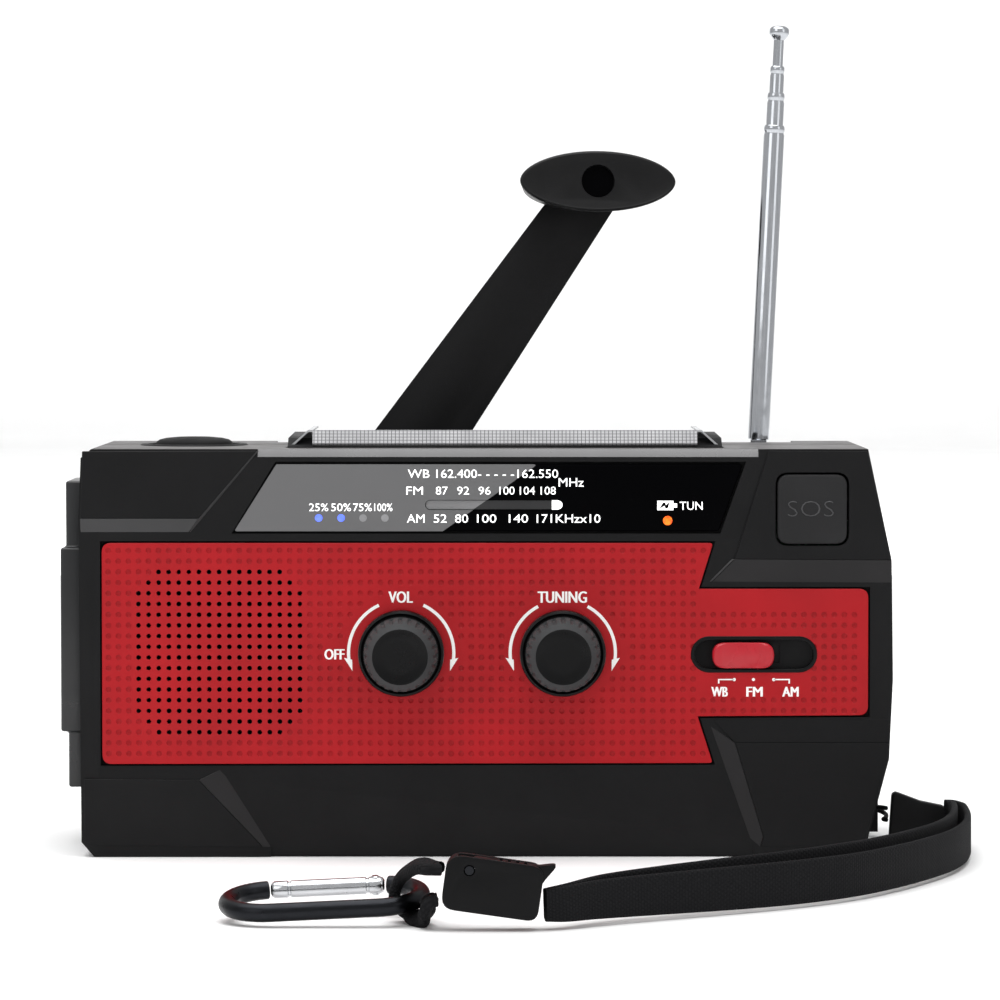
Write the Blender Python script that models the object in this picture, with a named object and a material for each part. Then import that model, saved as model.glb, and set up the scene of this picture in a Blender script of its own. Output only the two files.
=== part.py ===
"""Emergency radio: a hand-crank, solar and battery receiver with a telescopic mast and a wrist strap.

+X is the owner's right, +Y the back and +Z up. The origin is the centre of the face it stands on.
Sizes are written in millimetres and turned into metres by MM. Every outline runs anticlockwise.
"""

import math

import bmesh
import bpy
from mathutils import Matrix, Vector

MM = 0.001
GAP = 0.3  # clearance between touching pieces
X, Y, Z = Vector((1, 0, 0)), Vector((0, 1, 0)), Vector((0, 0, 1))

# Case: two shells that meet at y = 0.
FRONT, BACK, TOP = -26.5, 26.5, 78.4
FRONT_WALL, WALL = 3.5, 2.2
CASE_OUTLINE = [
    (-75.0, 0.0), (70.9, 0.0), (73.5, 2.4), (77.8, 18.8), (78.5, 34.2), (78.2, 57.1),
    (73.6, TOP), (-75.3, TOP), (-77.3, 76.7), (-77.8, 65.0), (-77.4, 2.8),
]
CAVITY_TOP, BAY_CEILING = 75.9, 68.2

# Lid bay in the top, and the groove behind it where the folded mast lies.
LID_X, LID_Y = (-38.0, 46.0), (-18.0, 16.0)
LID_FLOOR = 72.4
LID_HINGE = (13.6, 75.6)
GROOVE_X, GROOVE_Y, GROOVE_FLOOR = (-42.0, 62.0), 17.5, 70.5

# Front panel, display window and controls.
PANEL_OUTLINE = [
    (-73.3, 17.9), (43.9, 18.1), (41.0, 27.1), (73.7, 27.3), (73.7, 51.6), (41.2, 51.6),
    (43.9, 60.4), (-73.3, 60.4),
]
WINDOW_OUTLINE = [(-47.9, 62.5), (45.1, 62.5), (49.8, 75.7), (-39.8, 75.7)]
POCKET = 1.6
KNOB_Z, VOLUME_X, TUNING_X = 39.3, -15.9, 15.1
SWITCH_X, SWITCH_Z, SWITCH_SIZE = 51.8, 39.0, (24.3, 7.0)
SWITCH_STEP = 2.1
SOS_CENTRE, SOS_SIDE = (62.9, 66.9), 13.6
LAMP_BUTTON_X, LAMP_BUTTON_R = -57.2, 7.9
SPEAKER_CENTRE = (-51.0, 39.4)
SCREW_PLACES = [(-70.0, 9.0), (-70.0, 67.0), (66.0, 9.0), (67.5, 63.0)]
CHARGE_LEDS_X, CHARGE_LED_Z = (-31.7, -27.4, -23.2, -19.0), 65.2
TUNED_LED = (35.2, 64.6)

# Dial drive: pinion on the tuning shaft, idler above it, rack on the pointer carriage.
MODULE = 0.7
PINION_TEETH, IDLER_TEETH = 14, 33
DIAL_GEAR_Y = (-22.6, -20.8)

# Crank: a hub through the back wall, an arm that leans back, a grip that faces the case.
HUB_X, HUB_Z = -28.5, 57.0
ARM_ANGLE, ARM_LEAN = math.radians(34.8), math.radians(10.0)
ARM_PIVOT_Y = 31.2
ARM_REACH, ARM_END, ARM_THICK = 89.1, 95.0, 5.0
GRIP_LONG, GRIP_SHORT, GRIP_DEEP = 32.0, 12.6, 12.0
STOWED_ANGLE = math.radians(-15.0)
CRANK_TEETH, STEP_SMALL, STEP_LARGE, ROTOR_TEETH = 28, 12, 32, 10
CRANK_GEAR_Y, STEP_WHEEL_Y = (20.6, 23.4), (17.0, 19.8)
TRAIN_ANGLE = math.radians(225.0)

# Mast.
MAST_X, MAST_Y, MAST_PIVOT_Z = 55.0, 21.0, 75.2
MAST_TILT = math.radians(2.8)
MAST_RADII = [(2.1, 1.85), (1.75, 1.55), (1.45, 1.15), (1.05, 0.0)]
MAST_TOPS = [66.9, 73.4, 78.8, 84.0]
MAST_SIDES = 16

# Strap: webbing on edge, a clamp lock and a carabiner lying on the ground in front.
LOCK_CENTRE, LOCK_TILT = (1.8, -131.0, 7.4), math.radians(8.0)
LOCK_SIZE = (16.6, 5.6, 9.4)
BAR_R = 1.6
RING_LENGTH, RING_WIDTH, RING_CORNER = 33.4, 15.0, 7.2
RING_ORIGIN = (-10.5, -127.5, 3.6)
RING_SLOPE, RING_TILT = math.radians(2.7), math.radians(8.0)
GATE_SPAN = (6.4, 26.2)


def clear_scene():
    for item in list(bpy.data.objects):
        bpy.data.objects.remove(item, do_unlink=True)


def finish_material(name, colour, roughness, metallic=0.0):
    material = bpy.data.materials.new(name)
    material.use_nodes = True
    shader = material.node_tree.nodes["Principled BSDF"]
    shader.inputs["Base Color"].default_value = (*colour, 1.0)
    shader.inputs["Roughness"].default_value = roughness
    shader.inputs["Metallic"].default_value = metallic
    return material


def add_object(name, bm, look):
    """Make a mesh object; look is (colour, roughness, metallic), or None for a cutter."""
    bmesh.ops.recalc_face_normals(bm, faces=bm.faces)
    mesh = bpy.data.meshes.new(name)
    bm.to_mesh(mesh)
    bm.free()
    item = bpy.data.objects.new(name, mesh)
    bpy.context.scene.collection.objects.link(item)
    if look is None:
        item.hide_render = True
        item.display_type = "WIRE"
    else:
        mesh.materials.append(finish_material(name, *look))
    return item


def axes_for(axis):
    """Two directions that make a right-handed frame with the axis."""
    axis = axis.normalized()
    side = X if abs(axis.x) < 0.9 else Y
    first = (side - axis * side.dot(axis)).normalized()
    return first, axis.cross(first)


def extruded(name, outline, low, high, look, along="Y"):
    """An outline pushed from low to high: (x, z) along Y, (x, y) along Z or (y, z) along X."""
    place = {
        "X": lambda a, b, c: (c, a, b),
        "Y": lambda a, b, c: (a, c, b),
        "Z": lambda a, b, c: (a, b, c),
    }[along]
    bm = bmesh.new()
    verts = [bm.verts.new(Vector(place(a, b, low)) * MM) for a, b in outline]
    face = bm.faces.new(verts)
    moved = bmesh.ops.extrude_face_region(bm, geom=[face])["geom"]
    shift = Vector(place(0, 0, high - low)) * MM
    bmesh.ops.translate(bm, vec=shift, verts=[v for v in moved if isinstance(v, bmesh.types.BMVert)])
    return add_object(name, bm, look)


def block(name, low, high, look):
    outline = [(low[0], low[1]), (high[0], low[1]), (high[0], high[1]), (low[0], high[1])]
    return extruded(name, outline, low[2], high[2], look, "Z")


def turned(name, base, axis, profile, look, sides=24):
    """A profile of (radius, height) points spun about the axis through base."""
    base, axis = Vector(base) * MM, Vector(axis).normalized()
    first = axes_for(axis)[0]
    bm = bmesh.new()
    chain = [bm.verts.new(base + (first * r + axis * h) * MM) for r, h in profile]
    edges = [bm.edges.new(pair) for pair in zip(chain, chain[1:])]
    if profile[0][0] > 0 or profile[-1][0] > 0:
        edges.append(bm.edges.new((chain[-1], chain[0])))
    bmesh.ops.spin(
        bm, geom=chain + edges, cent=base, axis=axis, angle=math.tau, steps=sides, use_duplicate=False
    )
    bmesh.ops.remove_doubles(bm, verts=bm.verts, dist=1e-6)
    return add_object(name, bm, look)


def rod(name, base, axis, radius, length, look, sides=24):
    return turned(name, base, axis, [(0, 0), (radius, 0), (radius, length), (0, length)], look, sides)


def cut(item, *cutters):
    for cutter in cutters:
        modifier = item.modifiers.new(cutter.name, "BOOLEAN")
        modifier.operation = "DIFFERENCE"
        modifier.object = cutter
    return item


def fuse(item, *additions):
    for addition in additions:
        modifier = item.modifiers.new(addition.name, "BOOLEAN")
        modifier.operation = "UNION"
        modifier.object = addition
    return item


def grown(outline, distance):
    """The outline moved outwards by distance, or inwards when it is negative."""
    count = len(outline)
    moved = []
    for i in range(count):
        before, here, after = (Vector(outline[(i + k) % count]) for k in (-1, 0, 1))
        first, second = (here - before).normalized(), (after - here).normalized()
        n1, n2 = Vector((first.y, -first.x)), Vector((second.y, -second.x))
        middle = (n1 + n2).normalized()
        moved.append(tuple(here + middle * (distance / middle.dot(n1))))
    return moved


def ellipse(centre, long, short, angle, sides=24):
    points = []
    for i in range(sides):
        turn = math.tau * i / sides
        a, b = long / 2 * math.cos(turn), short / 2 * math.sin(turn)
        x = centre[0] + a * math.cos(angle) - b * math.sin(angle)
        z = centre[1] + a * math.sin(angle) + b * math.cos(angle)
        points.append((x, z))
    return points


def stadium(centre, size, sides=8):
    radius = size[1] / 2
    reach = size[0] / 2 - radius
    points = []
    for sign, start in ((1, -90), (-1, 90)):
        for i in range(sides + 1):
            turn = math.radians(start + 180 * i / sides)
            x = centre[0] + sign * reach + radius * math.cos(turn)
            points.append((x, centre[1] + radius * math.sin(turn)))
    return points


# Looks: (colour, roughness, metallic)
BLACK = ((0.012, 0.012, 0.013), 0.55, 0.0)
GLOSS = ((0.01, 0.01, 0.01), 0.15, 0.0)
RED = ((0.40, 0.017, 0.025), 0.5, 0.0)
CHROME = ((0.8, 0.8, 0.82), 0.12, 1.0)
STEEL = ((0.55, 0.55, 0.56), 0.3, 1.0)
RUBBER = ((0.015, 0.017, 0.018), 0.75, 0.0)
BOARD = ((0.02, 0.16, 0.06), 0.5, 0.0)
NYLON = ((0.75, 0.74, 0.7), 0.45, 0.0)
CLEAR = ((0.8, 0.85, 0.9), 0.05, 0.0)
SOLAR = ((0.05, 0.06, 0.12), 0.2, 0.0)
WEBBING = ((0.012, 0.012, 0.013), 0.9, 0.0)
CELL_WRAP = ((0.05, 0.22, 0.55), 0.4, 0.0)
BRASS = ((0.6, 0.42, 0.15), 0.35, 1.0)
FERRITE = ((0.06, 0.06, 0.065), 0.6, 0.0)


def cavity_outline(step_left, step_right):
    """The hollow of a shell, stepped down under the lid bay and the mast groove."""
    inner = grown(CASE_OUTLINE, -WALL)
    lower = [p for p in inner if p[1] < 70]
    right = [p for p in lower if p[0] > 0]
    left = [p for p in lower if p[0] <= 0]
    right.sort(key=lambda p: p[1])
    left.sort(key=lambda p: -p[1])
    return right + [
        (70.8, CAVITY_TOP), (step_right, CAVITY_TOP), (step_right, BAY_CEILING),
        (step_left, BAY_CEILING), (step_left, CAVITY_TOP), (-74.4, CAVITY_TOP),
    ] + left


def top_cutters():
    """Cutters that both shells share: lid bay, lamp button hole, hinge pin hole, torch and port openings."""
    bay = block(
        "cut_bay", (LID_X[0] - 0.4, LID_Y[0] - 0.4, LID_FLOOR),
        (LID_X[1] + 0.4, GROOVE_Y + 0.1, TOP + 9), None,
    )
    button = rod("cut_lamp_button", (LAMP_BUTTON_X, 0, 70), Z, LAMP_BUTTON_R + 0.4, 20, None, 24)
    pin = rod("cut_hinge_pin", (LID_X[0] - 3.6, *LID_HINGE), X, 1.3, LID_X[1] - LID_X[0] + 7.2, None, 12)
    torch = rod("cut_torch", (72, 0, 44), X, 8.0, 10, None, 24)
    ports = block("cut_ports", (-82, -8, 22), (-74, 8, 60), None)
    return bay, button, pin, torch, ports


def make_front_shell(shared):
    shell = extruded("front_shell", CASE_OUTLINE, FRONT, -GAP / 2, BLACK)
    hollow = extruded("cut_front_hollow", cavity_outline(-42.0, 50.0), FRONT + FRONT_WALL, 1, None)
    panel = extruded("cut_panel", grown(PANEL_OUTLINE, 0.35), FRONT - 1, FRONT + POCKET, None)
    window = extruded("cut_window", grown(WINDOW_OUTLINE, 0.3), FRONT - 1, FRONT + POCKET, None)
    speaker = rod("cut_speaker", (SPEAKER_CENTRE[0], -26, SPEAKER_CENTRE[1]), Y, 17, 4, None)
    rail = block("cut_rail", (-14, -23.2, 62), (46, -20.4, 71.2), None)
    pointer = block("cut_pointer", (-14, -26, 65.6), (18, -22, 69.6), None)
    stem = block("cut_stem", (SWITCH_X - 5, -26, SWITCH_Z - 1.8), (SWITCH_X + 5, -22, SWITCH_Z + 1.8), None)
    half = SOS_SIDE / 2 + 0.4
    x, z = SOS_CENTRE
    sos = block("cut_sos", (x - half, FRONT - 1, z - half), (x + half, -22, z + half), None)
    shafts = [
        rod(f"cut_shaft_{i}", (at, -26, KNOB_Z), Y, 3.5, 4, None, 16)
        for i, at in enumerate((VOLUME_X, TUNING_X))
    ]
    lamps = [
        rod(f"cut_lamp_{i}", (at, -26, z), Y, 1.3, 4, None, 10)
        for i, (at, z) in enumerate([(x, CHARGE_LED_Z) for x in CHARGE_LEDS_X] + [TUNED_LED])
    ]
    cut(shell, hollow, panel, window, speaker, rail, pointer, stem, sos, *shafts, *lamps, *shared)


def make_rear_shell(shared):
    shell = extruded("rear_shell", CASE_OUTLINE, GAP / 2, BACK, BLACK)
    hollow = extruded("cut_rear_hollow", cavity_outline(-44.2, 64.2), -1, BACK - WALL, None)
    x = HUB_X + ARM_REACH * math.cos(STOWED_ANGLE)
    z = HUB_Z + ARM_REACH * math.sin(STOWED_ANGLE)
    turn = STOWED_ANGLE + math.pi / 2
    pocket_wall = extruded("add_pocket_wall", ellipse((x, z), 37.6, 18.4, turn), 11.0, 25.0, None)
    pocket = extruded("cut_pocket", ellipse((x, z), 33.6, 14.4, turn), 12.9, 30, None)
    groove = block("cut_groove", (GROOVE_X[0], GROOVE_Y, GROOVE_FLOOR), (GROOVE_X[1], 30, TOP + 9), None)
    hub = rod("cut_hub", (HUB_X, 22, HUB_Z), Y, 3.3, 6, None, 20)
    swivel = rod("cut_swivel", (MAST_X, MAST_Y, 66), Z, 2.1, 8, None, 16)
    door = block("cut_door", (-22.4, 22, 5.6), (48.4, 30, 24.4), None)
    eye = block("add_eye", (71.6, 7.0, 1.0), (78.4, 9.0, 8.8), None)
    eye_gap = block("cut_eye_gap", (74.9, 6, 2.6), (76.6, 10, 7.2), None)
    screws = [turned(f"cut_screw_{i}", (x, 20, z), Y, [(0, 0), (1.8, 0), (1.8, 4.9), (3.0, 4.9), (3.0, 9), (0, 9)],
                     None, 12) for i, (x, z) in enumerate(SCREW_PLACES)]
    cut(shell, hollow)
    fuse(shell, pocket_wall, eye)
    cut(shell, pocket, groove, hub, swivel, door, eye_gap, *screws, *shared)



def make_screws():
    shape = [(0, 0), (1.4, 0), (1.4, 15.2), (2.6, 15.2), (2.6, 16.6), (0, 16.6)]
    for i, (x, z) in enumerate(SCREW_PLACES):
        turned(f"case_screw_{i + 1}", (x, 9.8, z), Y, shape, STEEL, 12)


def make_front_face():
    panel = extruded("front_panel", PANEL_OUTLINE, FRONT - 0.3, FRONT + POCKET - GAP, RED)
    slot = extruded("cut_slot", stadium((SWITCH_X, SWITCH_Z), SWITCH_SIZE), -30, -20, None)
    holes = [
        rod(f"cut_knob_{i}", (at, -30, KNOB_Z), Y, 3.5, 9, None, 16)
        for i, at in enumerate((VOLUME_X, TUNING_X))
    ]
    cut(panel, slot, *holes)
    extruded("display_window", WINDOW_OUTLINE, FRONT, FRONT + POCKET - GAP, GLOSS)
    board = block("dial_board", (-46, -20.2, 61.2), (40, -19.4, 67.9), BOARD)
    places = [(x, CHARGE_LED_Z) for x in CHARGE_LEDS_X] + [TUNED_LED]
    lamps = [
        rod(f"add_lamp_{i}", (x, -24.6, z), Y, 1.0, 4.8, None, 10) for i, (x, z) in enumerate(places)
    ]
    fuse(board, *lamps)


def make_controls():
    grip = [(8.25, 0), (8.25, 1.3), (6.9, 1.5), (6.9, 2.2), (5.6, 10.4), (5.2, 10.9), (0, 10.9)]
    for name, x in (("volume_knob", VOLUME_X), ("tuning_knob", TUNING_X)):
        shape = [(0, -8.2), (2.2, -8.2), (2.2, -4.1), (3.0, -4.1), (3.0, 0)] + grip
        turned(name, (x, FRONT - 0.7, KNOB_Z), -Y, shape, GLOSS, 24)
    slider_x = SWITCH_X - SWITCH_STEP
    thumb = extruded("band_slider", stadium((slider_x, SWITCH_Z), (12.0, 5.2)), -28.4, -25.3, RED)
    stem = block("add_stem", (slider_x - 1.5, -25.6, SWITCH_Z - 1.2), (slider_x + 1.5, -19.9, SWITCH_Z + 1.2), None)
    fuse(thumb, stem)
    (x, z), half = SOS_CENTRE, SOS_SIDE / 2
    button = block("sos_button", (x - half, FRONT - 0.5, z - half), (x + half, -22.4, z + half), BLACK)
    flange = block("add_flange", (x - half - 0.9, -22.6, z - half - 0.9), (x + half + 0.9, -21.6, z + half + 0.9), None)
    fuse(button, flange)
    dome = [(0, 74.4), (9.2, 74.4), (9.2, 75.5), (7.9, 75.5), (7.9, 78.5), (5.5, 79.5), (2.8, 79.95), (0, 80.05)]
    turned("lamp_button", (LAMP_BUTTON_X, 0, 0), Z, dome, BLACK, 24)


def gear_outline(centre, teeth, phase, backlash=0.3):
    """Gear teeth of three steps each: foot, pitch and tip widths shrink towards the tip."""
    pitch = MODULE * teeth / 2
    steps = [(pitch - 1.2 * MODULE, 0.80), (pitch, 0.5), (pitch + 0.85 * MODULE, 0.24)]
    points = []
    for i in range(teeth):
        middle = phase + math.tau * i / teeth
        widths = [(r, (math.pi * MODULE * share - backlash) / 2 / r) for r, share in steps]
        flank = [(r, -w) for r, w in widths] + [(r, w) for r, w in reversed(widths)]
        for r, offset in flank:
            points.append((centre[0] + r * math.cos(middle + offset), centre[1] + r * math.sin(middle + offset)))
    return points


def meshed_phase(phase, teeth, other_teeth, direction):
    """Phase of a gear that meshes with one lying the opposite way along direction."""
    return direction + math.pi + math.pi / other_teeth - (phase - direction) * teeth / other_teeth


def make_dial_drive():
    up = math.pi / 2
    pinion_r, idler_r = MODULE * PINION_TEETH / 2, MODULE * IDLER_TEETH / 2
    idler_z = KNOB_Z + pinion_r + idler_r
    low, high = DIAL_GEAR_Y
    pinion = extruded("tuning_pinion", gear_outline((TUNING_X, KNOB_Z), PINION_TEETH, up), low, high, NYLON)
    cut(pinion, rod("cut_pinion_bore", (TUNING_X, low - 1, KNOB_Z), Y, 2.5, 4, None, 16))
    idler_phase = meshed_phase(up, PINION_TEETH, IDLER_TEETH, up)
    idler = extruded("dial_idler", gear_outline((TUNING_X, idler_z), IDLER_TEETH, idler_phase), low, high, NYLON)
    fuse(idler, rod("add_idler_stub", (TUNING_X, low - 0.2, idler_z), Y, 1.2, 3.4, None, 12))
    rack_z = idler_z + idler_r
    make_pointer(rack_z, idler_phase, idler_r)


def make_pointer(rack_z, idler_phase, idler_r):
    """The rack hangs its teeth into the idler; its gaps line up with the idler's uppermost tooth."""
    pitch = math.pi * MODULE
    step = math.tau / IDLER_TEETH
    lead = (math.pi / 2 - idler_phase) % step
    first_gap = TUNING_X + lead * idler_r
    left, right = 11.0, 42.5
    tooth = first_gap + pitch / 2 + pitch * math.ceil((left + 1.2 - first_gap - pitch / 2) / pitch)
    top, root, tip = rack_z + 2.9, rack_z + 1.2 * MODULE, rack_z - 0.85 * MODULE
    lower = [(left, root)]
    while tooth < right - 1.2:
        for offset, z in ((-0.62, root), (-0.2, tip), (0.2, tip), (0.62, root)):
            lower.append((tooth + offset, z))
        tooth += pitch
    lower += [(right, root), (right, top), (left, top)]
    low, high = DIAL_GEAR_Y
    carriage = extruded("dial_pointer", lower, low, high, NYLON)
    finger = block("add_finger", (12.9, -24.6, 66.3), (15.1, -22.9, 69.3), None)
    neck = block("add_finger_neck", (12.9, -23.2, 68.4), (15.1, -22.0, 69.3), None)
    fuse(finger, neck)
    fuse(carriage, finger)


def make_insides():
    block("main_board", (-28, -11.5, 12), (72, -9.9, 64), BOARD)
    x, z = SPEAKER_CENTRE
    cone = [(0, 0), (19, 0), (19, 1.6), (17.5, 1.6), (10.5, 8), (10.5, 14.4), (0, 14.4)]
    turned("speaker", (x, -22.6, z), Y, cone, FERRITE)
    rod("volume_pot", (VOLUME_X, -18.5, KNOB_Z), Y, 8, 6.6, STEEL, 20)
    block("tuning_capacitor", (5, -18.5, 29.3), (25, -11.9, 49.3), NYLON)
    block("band_switch", (42, -19.6, 34), (62, -11.9, 44), STEEL)
    rod("ferrite_rod", (-30, 4, 62.5), X, 4, 60, FERRITE, 16)
    rod("battery_cell", (-20, 8, 13), X, 9.2, 65, CELL_WRAP, 24)
    block("battery_door", (-22, 24.4, 6), (48, 26.3, 24), BLACK)
    reflector = [(2.2, 0), (3.2, 0), (7.6, 7.4), (7.6, 8.8), (6.9, 8.8), (6.9, 7.8), (2.2, 1.2)]
    turned("torch_reflector", (66, 0, 44), X, reflector, CHROME)
    rod("torch_lens", (75.2, 0, 44), X, 7.5, 1.6, CLEAR)
    rod("torch_led", (62.5, 0, 44), X, 1.8, 6.0, NYLON, 12)
    ports = block("port_block", (-75.2, -7.6, 23), (-66, 7.6, 59), BLACK)
    sockets = [
        block("cut_usb", (-80, -6.6, 45), (-71, 6.6, 50.6), None),
        block("cut_charge_port", (-80, -3.9, 34.6), (-71, 3.9, 37.5), None),
        rod("cut_jack", (-80, 0, 28), X, 1.75, 9, None, 12),
    ]
    cut(ports, *sockets)
    fuse(ports, block("add_usb_tongue", (-74, -5.6, 47.4), (-70, 5.6, 49.0), None))


def make_lid():
    """Solar lid: hinged at its back edge, solar cell on top and reading lamps underneath."""
    profile = [(-18, 72.8), (14.5, 73.4), (16, 75), (16, 79.2), (14.6, 80.6), (-15.0, 80.2), (-18, 78.6)]
    frame = extruded("lid_frame", profile, *LID_X, BLACK, along="X")
    top = block("cut_lid_top", (-33, -14, 78.5), (41, 11, 90), None)
    under = block("cut_lid_under", (-30, -12, 70), (38, 8, 75), None)
    pin = rod("cut_lid_pin", (LID_X[0] - 1, *LID_HINGE), X, 1.3, LID_X[1] - LID_X[0] + 2, None, 12)
    cut(frame, top, under, pin)
    block("solar_cell", (-32.6, -13.6, 78.8), (40.6, 10.6, 79.3), SOLAR)
    block("solar_cover", (-32.6, -13.6, 79.6), (40.6, 10.6, 80.4), CLEAR)
    block("lamp_board", (-29.6, -11.6, 73.6), (37.6, 7.6, 74.7), BOARD)
    rod("lid_hinge_pin", (LID_X[0] - 3.3, *LID_HINGE), X, 1.0, LID_X[1] - LID_X[0] + 6.6, STEEL, 12)


def make_crank_train():
    """Crank gear, step-up gear and dynamo pinion, meshed in a line that slants down to the left."""
    crank_r, small_r = MODULE * CRANK_TEETH / 2, MODULE * STEP_SMALL / 2
    large_r, rotor_r = MODULE * STEP_LARGE / 2, MODULE * ROTOR_TEETH / 2
    line = Vector((math.cos(TRAIN_ANGLE), math.sin(TRAIN_ANGLE)))
    step_at = Vector((HUB_X, HUB_Z)) + line * (crank_r + small_r)
    rotor_at = step_at + line * (large_r + rotor_r)
    low, high = CRANK_GEAR_Y
    gear = extruded("crank_gear", gear_outline((HUB_X, HUB_Z), CRANK_TEETH, TRAIN_ANGLE), low, high, NYLON)
    cut(gear, rod("cut_crank_bore", (HUB_X, low - 1, HUB_Z), Y, 3.3, 5, None, 20))
    small_phase = meshed_phase(TRAIN_ANGLE, CRANK_TEETH, STEP_SMALL, TRAIN_ANGLE)
    step = extruded("step_gear", gear_outline(step_at, STEP_SMALL, small_phase), low - 2, high, NYLON)
    low, high = STEP_WHEEL_Y
    wheel = extruded("add_step_wheel", gear_outline(step_at, STEP_LARGE, TRAIN_ANGLE), low, high, None)
    axle = rod("add_step_axle", (step_at.x, low - 1.4, step_at.y), Y, 1.0, 8.2, None, 12)
    fuse(step, wheel, axle)
    rotor_phase = meshed_phase(TRAIN_ANGLE, STEP_LARGE, ROTOR_TEETH, TRAIN_ANGLE)
    rotor = extruded("dynamo_pinion", gear_outline(rotor_at, ROTOR_TEETH, rotor_phase), low, high, BRASS)
    fuse(rotor, rod("add_rotor_shaft", (rotor_at.x, 15.9, rotor_at.y), Y, 1.0, 2.0, None, 12))
    rod("dynamo", (rotor_at.x, 3, rotor_at.y), Y, 11, 12.5, STEEL)


def placed(matrix, *items):
    for item in items:
        item.matrix_world = matrix
    return items[0]


def at(point):
    return Matrix.Translation(Vector(point) * MM)


def make_crank():
    """Hub with two ears, an arm that folds between them and a turning grip on the arm's far end."""
    flat = at((HUB_X, ARM_PIVOT_Y, HUB_Z)) @ Matrix.Rotation(ARM_ANGLE, 4, "Y")
    leaning = flat @ Matrix.Rotation(-ARM_LEAN, 4, "X")
    shape = [(0, -11.0), (3.0, -11.0), (3.0, -4.3), (9.5, -4.3), (9.5, -3.5), (0, -3.5)]
    hub = turned("crank_hub", (0, 0, 0), Y, shape, BLACK, 20)
    ears = []
    for side in (-1, 1):
        low, high = sorted((side * 4.4, side * 6.6))
        ear = block(f"add_ear_{side}", (low, -3.9, -3.0), (high, 0.2, 3.0), None)
        knuckle = rod(f"add_knuckle_{side}", (low, 0, 0), X, 3.0, high - low, None, 16)
        ears += [ear, knuckle]
    bore = rod("cut_ear_bore", (-8, 0, 0), X, 1.3, 16, None, 12)
    fuse(hub, *ears)
    cut(hub, bore)
    placed(flat, hub, bore, *ears)
    placed(flat, rod("crank_pin", (-6.8, 0, 0), X, 1.0, 13.6, STEEL, 12))
    half = ARM_THICK / 2
    outline = [(-9.0, 6.0), (-4.0, 6.0), (-4.0, 0.0), (-2.0, -2.0), (2.0, -2.0), (4.0, 0.0), (4.0, 6.0),
               (9.0, 6.0), (6.0, ARM_END - 6), (5.6, ARM_END - 2), (3.4, ARM_END),
               (-3.4, ARM_END), (-5.6, ARM_END - 2), (-6.0, ARM_END - 6)]
    arm = extruded("crank_arm", outline, -half, half, BLACK)
    tang_bore = rod("cut_tang_bore", (-8, 0, 0), X, 1.3, 16, None, 12)
    stub = rod("add_grip_stub", (0, -half - 7.2, ARM_REACH), Y, 2.4, 7.7, None, 16)
    fuse(arm, stub)
    cut(arm, tang_bore)
    placed(leaning, arm, tang_bore, stub)
    back = -half - GAP
    level = Matrix.Rotation(-ARM_ANGLE, 4, "Y")
    post = extruded("crank_grip", ellipse((0, 0), GRIP_LONG, GRIP_SHORT, 0, 32), back - GRIP_DEEP, back, BLACK)
    bore = rod("cut_grip_bore", (0, -12, 0), Y, 2.8, 12, None, 16)
    recess = rod("cut_grip_recess", (0, back - GRIP_DEEP - 1, 0), Y, 3.3, 3.0, None, 16)
    cut(post, bore, recess)
    grip_frame = leaning @ at((0, 0, ARM_REACH)) @ level
    placed(grip_frame, post, bore, recess)


def make_mast():
    upright = at((MAST_X, MAST_Y, MAST_PIVOT_Z))
    tilted = upright @ Matrix.Rotation(MAST_TILT, 4, "Y")
    foot = MAST_PIVOT_Z - 66.2
    shape = [(0, 0), (3.0, 0), (3.0, 1.6), (1.8, 1.6), (1.8, 4.7), (3.4, 4.7), (3.4, 6.1), (0, 6.1)]
    base = turned("mast_base", (0, 0, -foot), Z, shape, CHROME, 16)
    cheeks = []
    for side in (-1, 1):
        low, high = sorted((side * 1.1, side * 2.4))
        cheeks.append(block(f"add_cheek_{side}", (-2.2, low, 5.8 - foot), (2.2, high, 0), None))
        cheeks.append(rod(f"add_cheek_top_{side}", (0, low, 0), Y, 2.2, high - low, None, 14))
    pin = rod("add_mast_pin", (0, -2.0, 0), Y, 0.7, 4.0, None, 10)
    fuse(base, *cheeks, pin)
    placed(upright, base, pin, *cheeks)
    tang = block("add_tang", (-1.6, -0.75, 0), (1.6, 0.75, 4.2), None)
    eye = rod("add_tang_eye", (0, -0.75, 0), Y, 1.9, 1.5, None, 14)
    bore = rod("cut_tang_eye", (0, -3, 0), Y, 1.0, 6, None, 10)
    starts = [3.6, 8.0, 9.0, 10.0]
    for i, ((outer, inner), start, top) in enumerate(zip(MAST_RADII, starts, MAST_TOPS)):
        if inner:
            floor = start + 3.0 if i == 0 else start + 0.6
            shape = [(0, start), (outer, start), (outer, top), (inner, top), (inner, floor), (0, floor)]
        else:
            shape = [(0, start), (outer, start), (outer, top), (1.4, top + 0.2), (2.0, top + 1.2),
                     (2.0, top + 2.2), (1.3, top + 2.9), (0, top + 2.9)]
        tube = turned(f"mast_tube_{i + 1}", (0, 0, 0), Z, shape, CHROME, MAST_SIDES)
        if i == 0:
            fuse(tube, tang, eye)
            cut(tube, bore)
        placed(tilted, tube)
    placed(tilted, tang, eye, bore)


def make_port_cover():
    cover = block("port_cover", (-82.8, -10.0, 22.6), (-78.2, 11.0, 58.6), RUBBER)
    upper = block("add_cover_upper", (-81.8, -9.0, 58.0), (-78.2, 10.0, 71.6), None)
    lower = block("add_cover_lower", (-81.4, -9.0, 11.6), (-78.2, 10.0, 23.0), None)
    fuse(cover, upper, lower)


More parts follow.
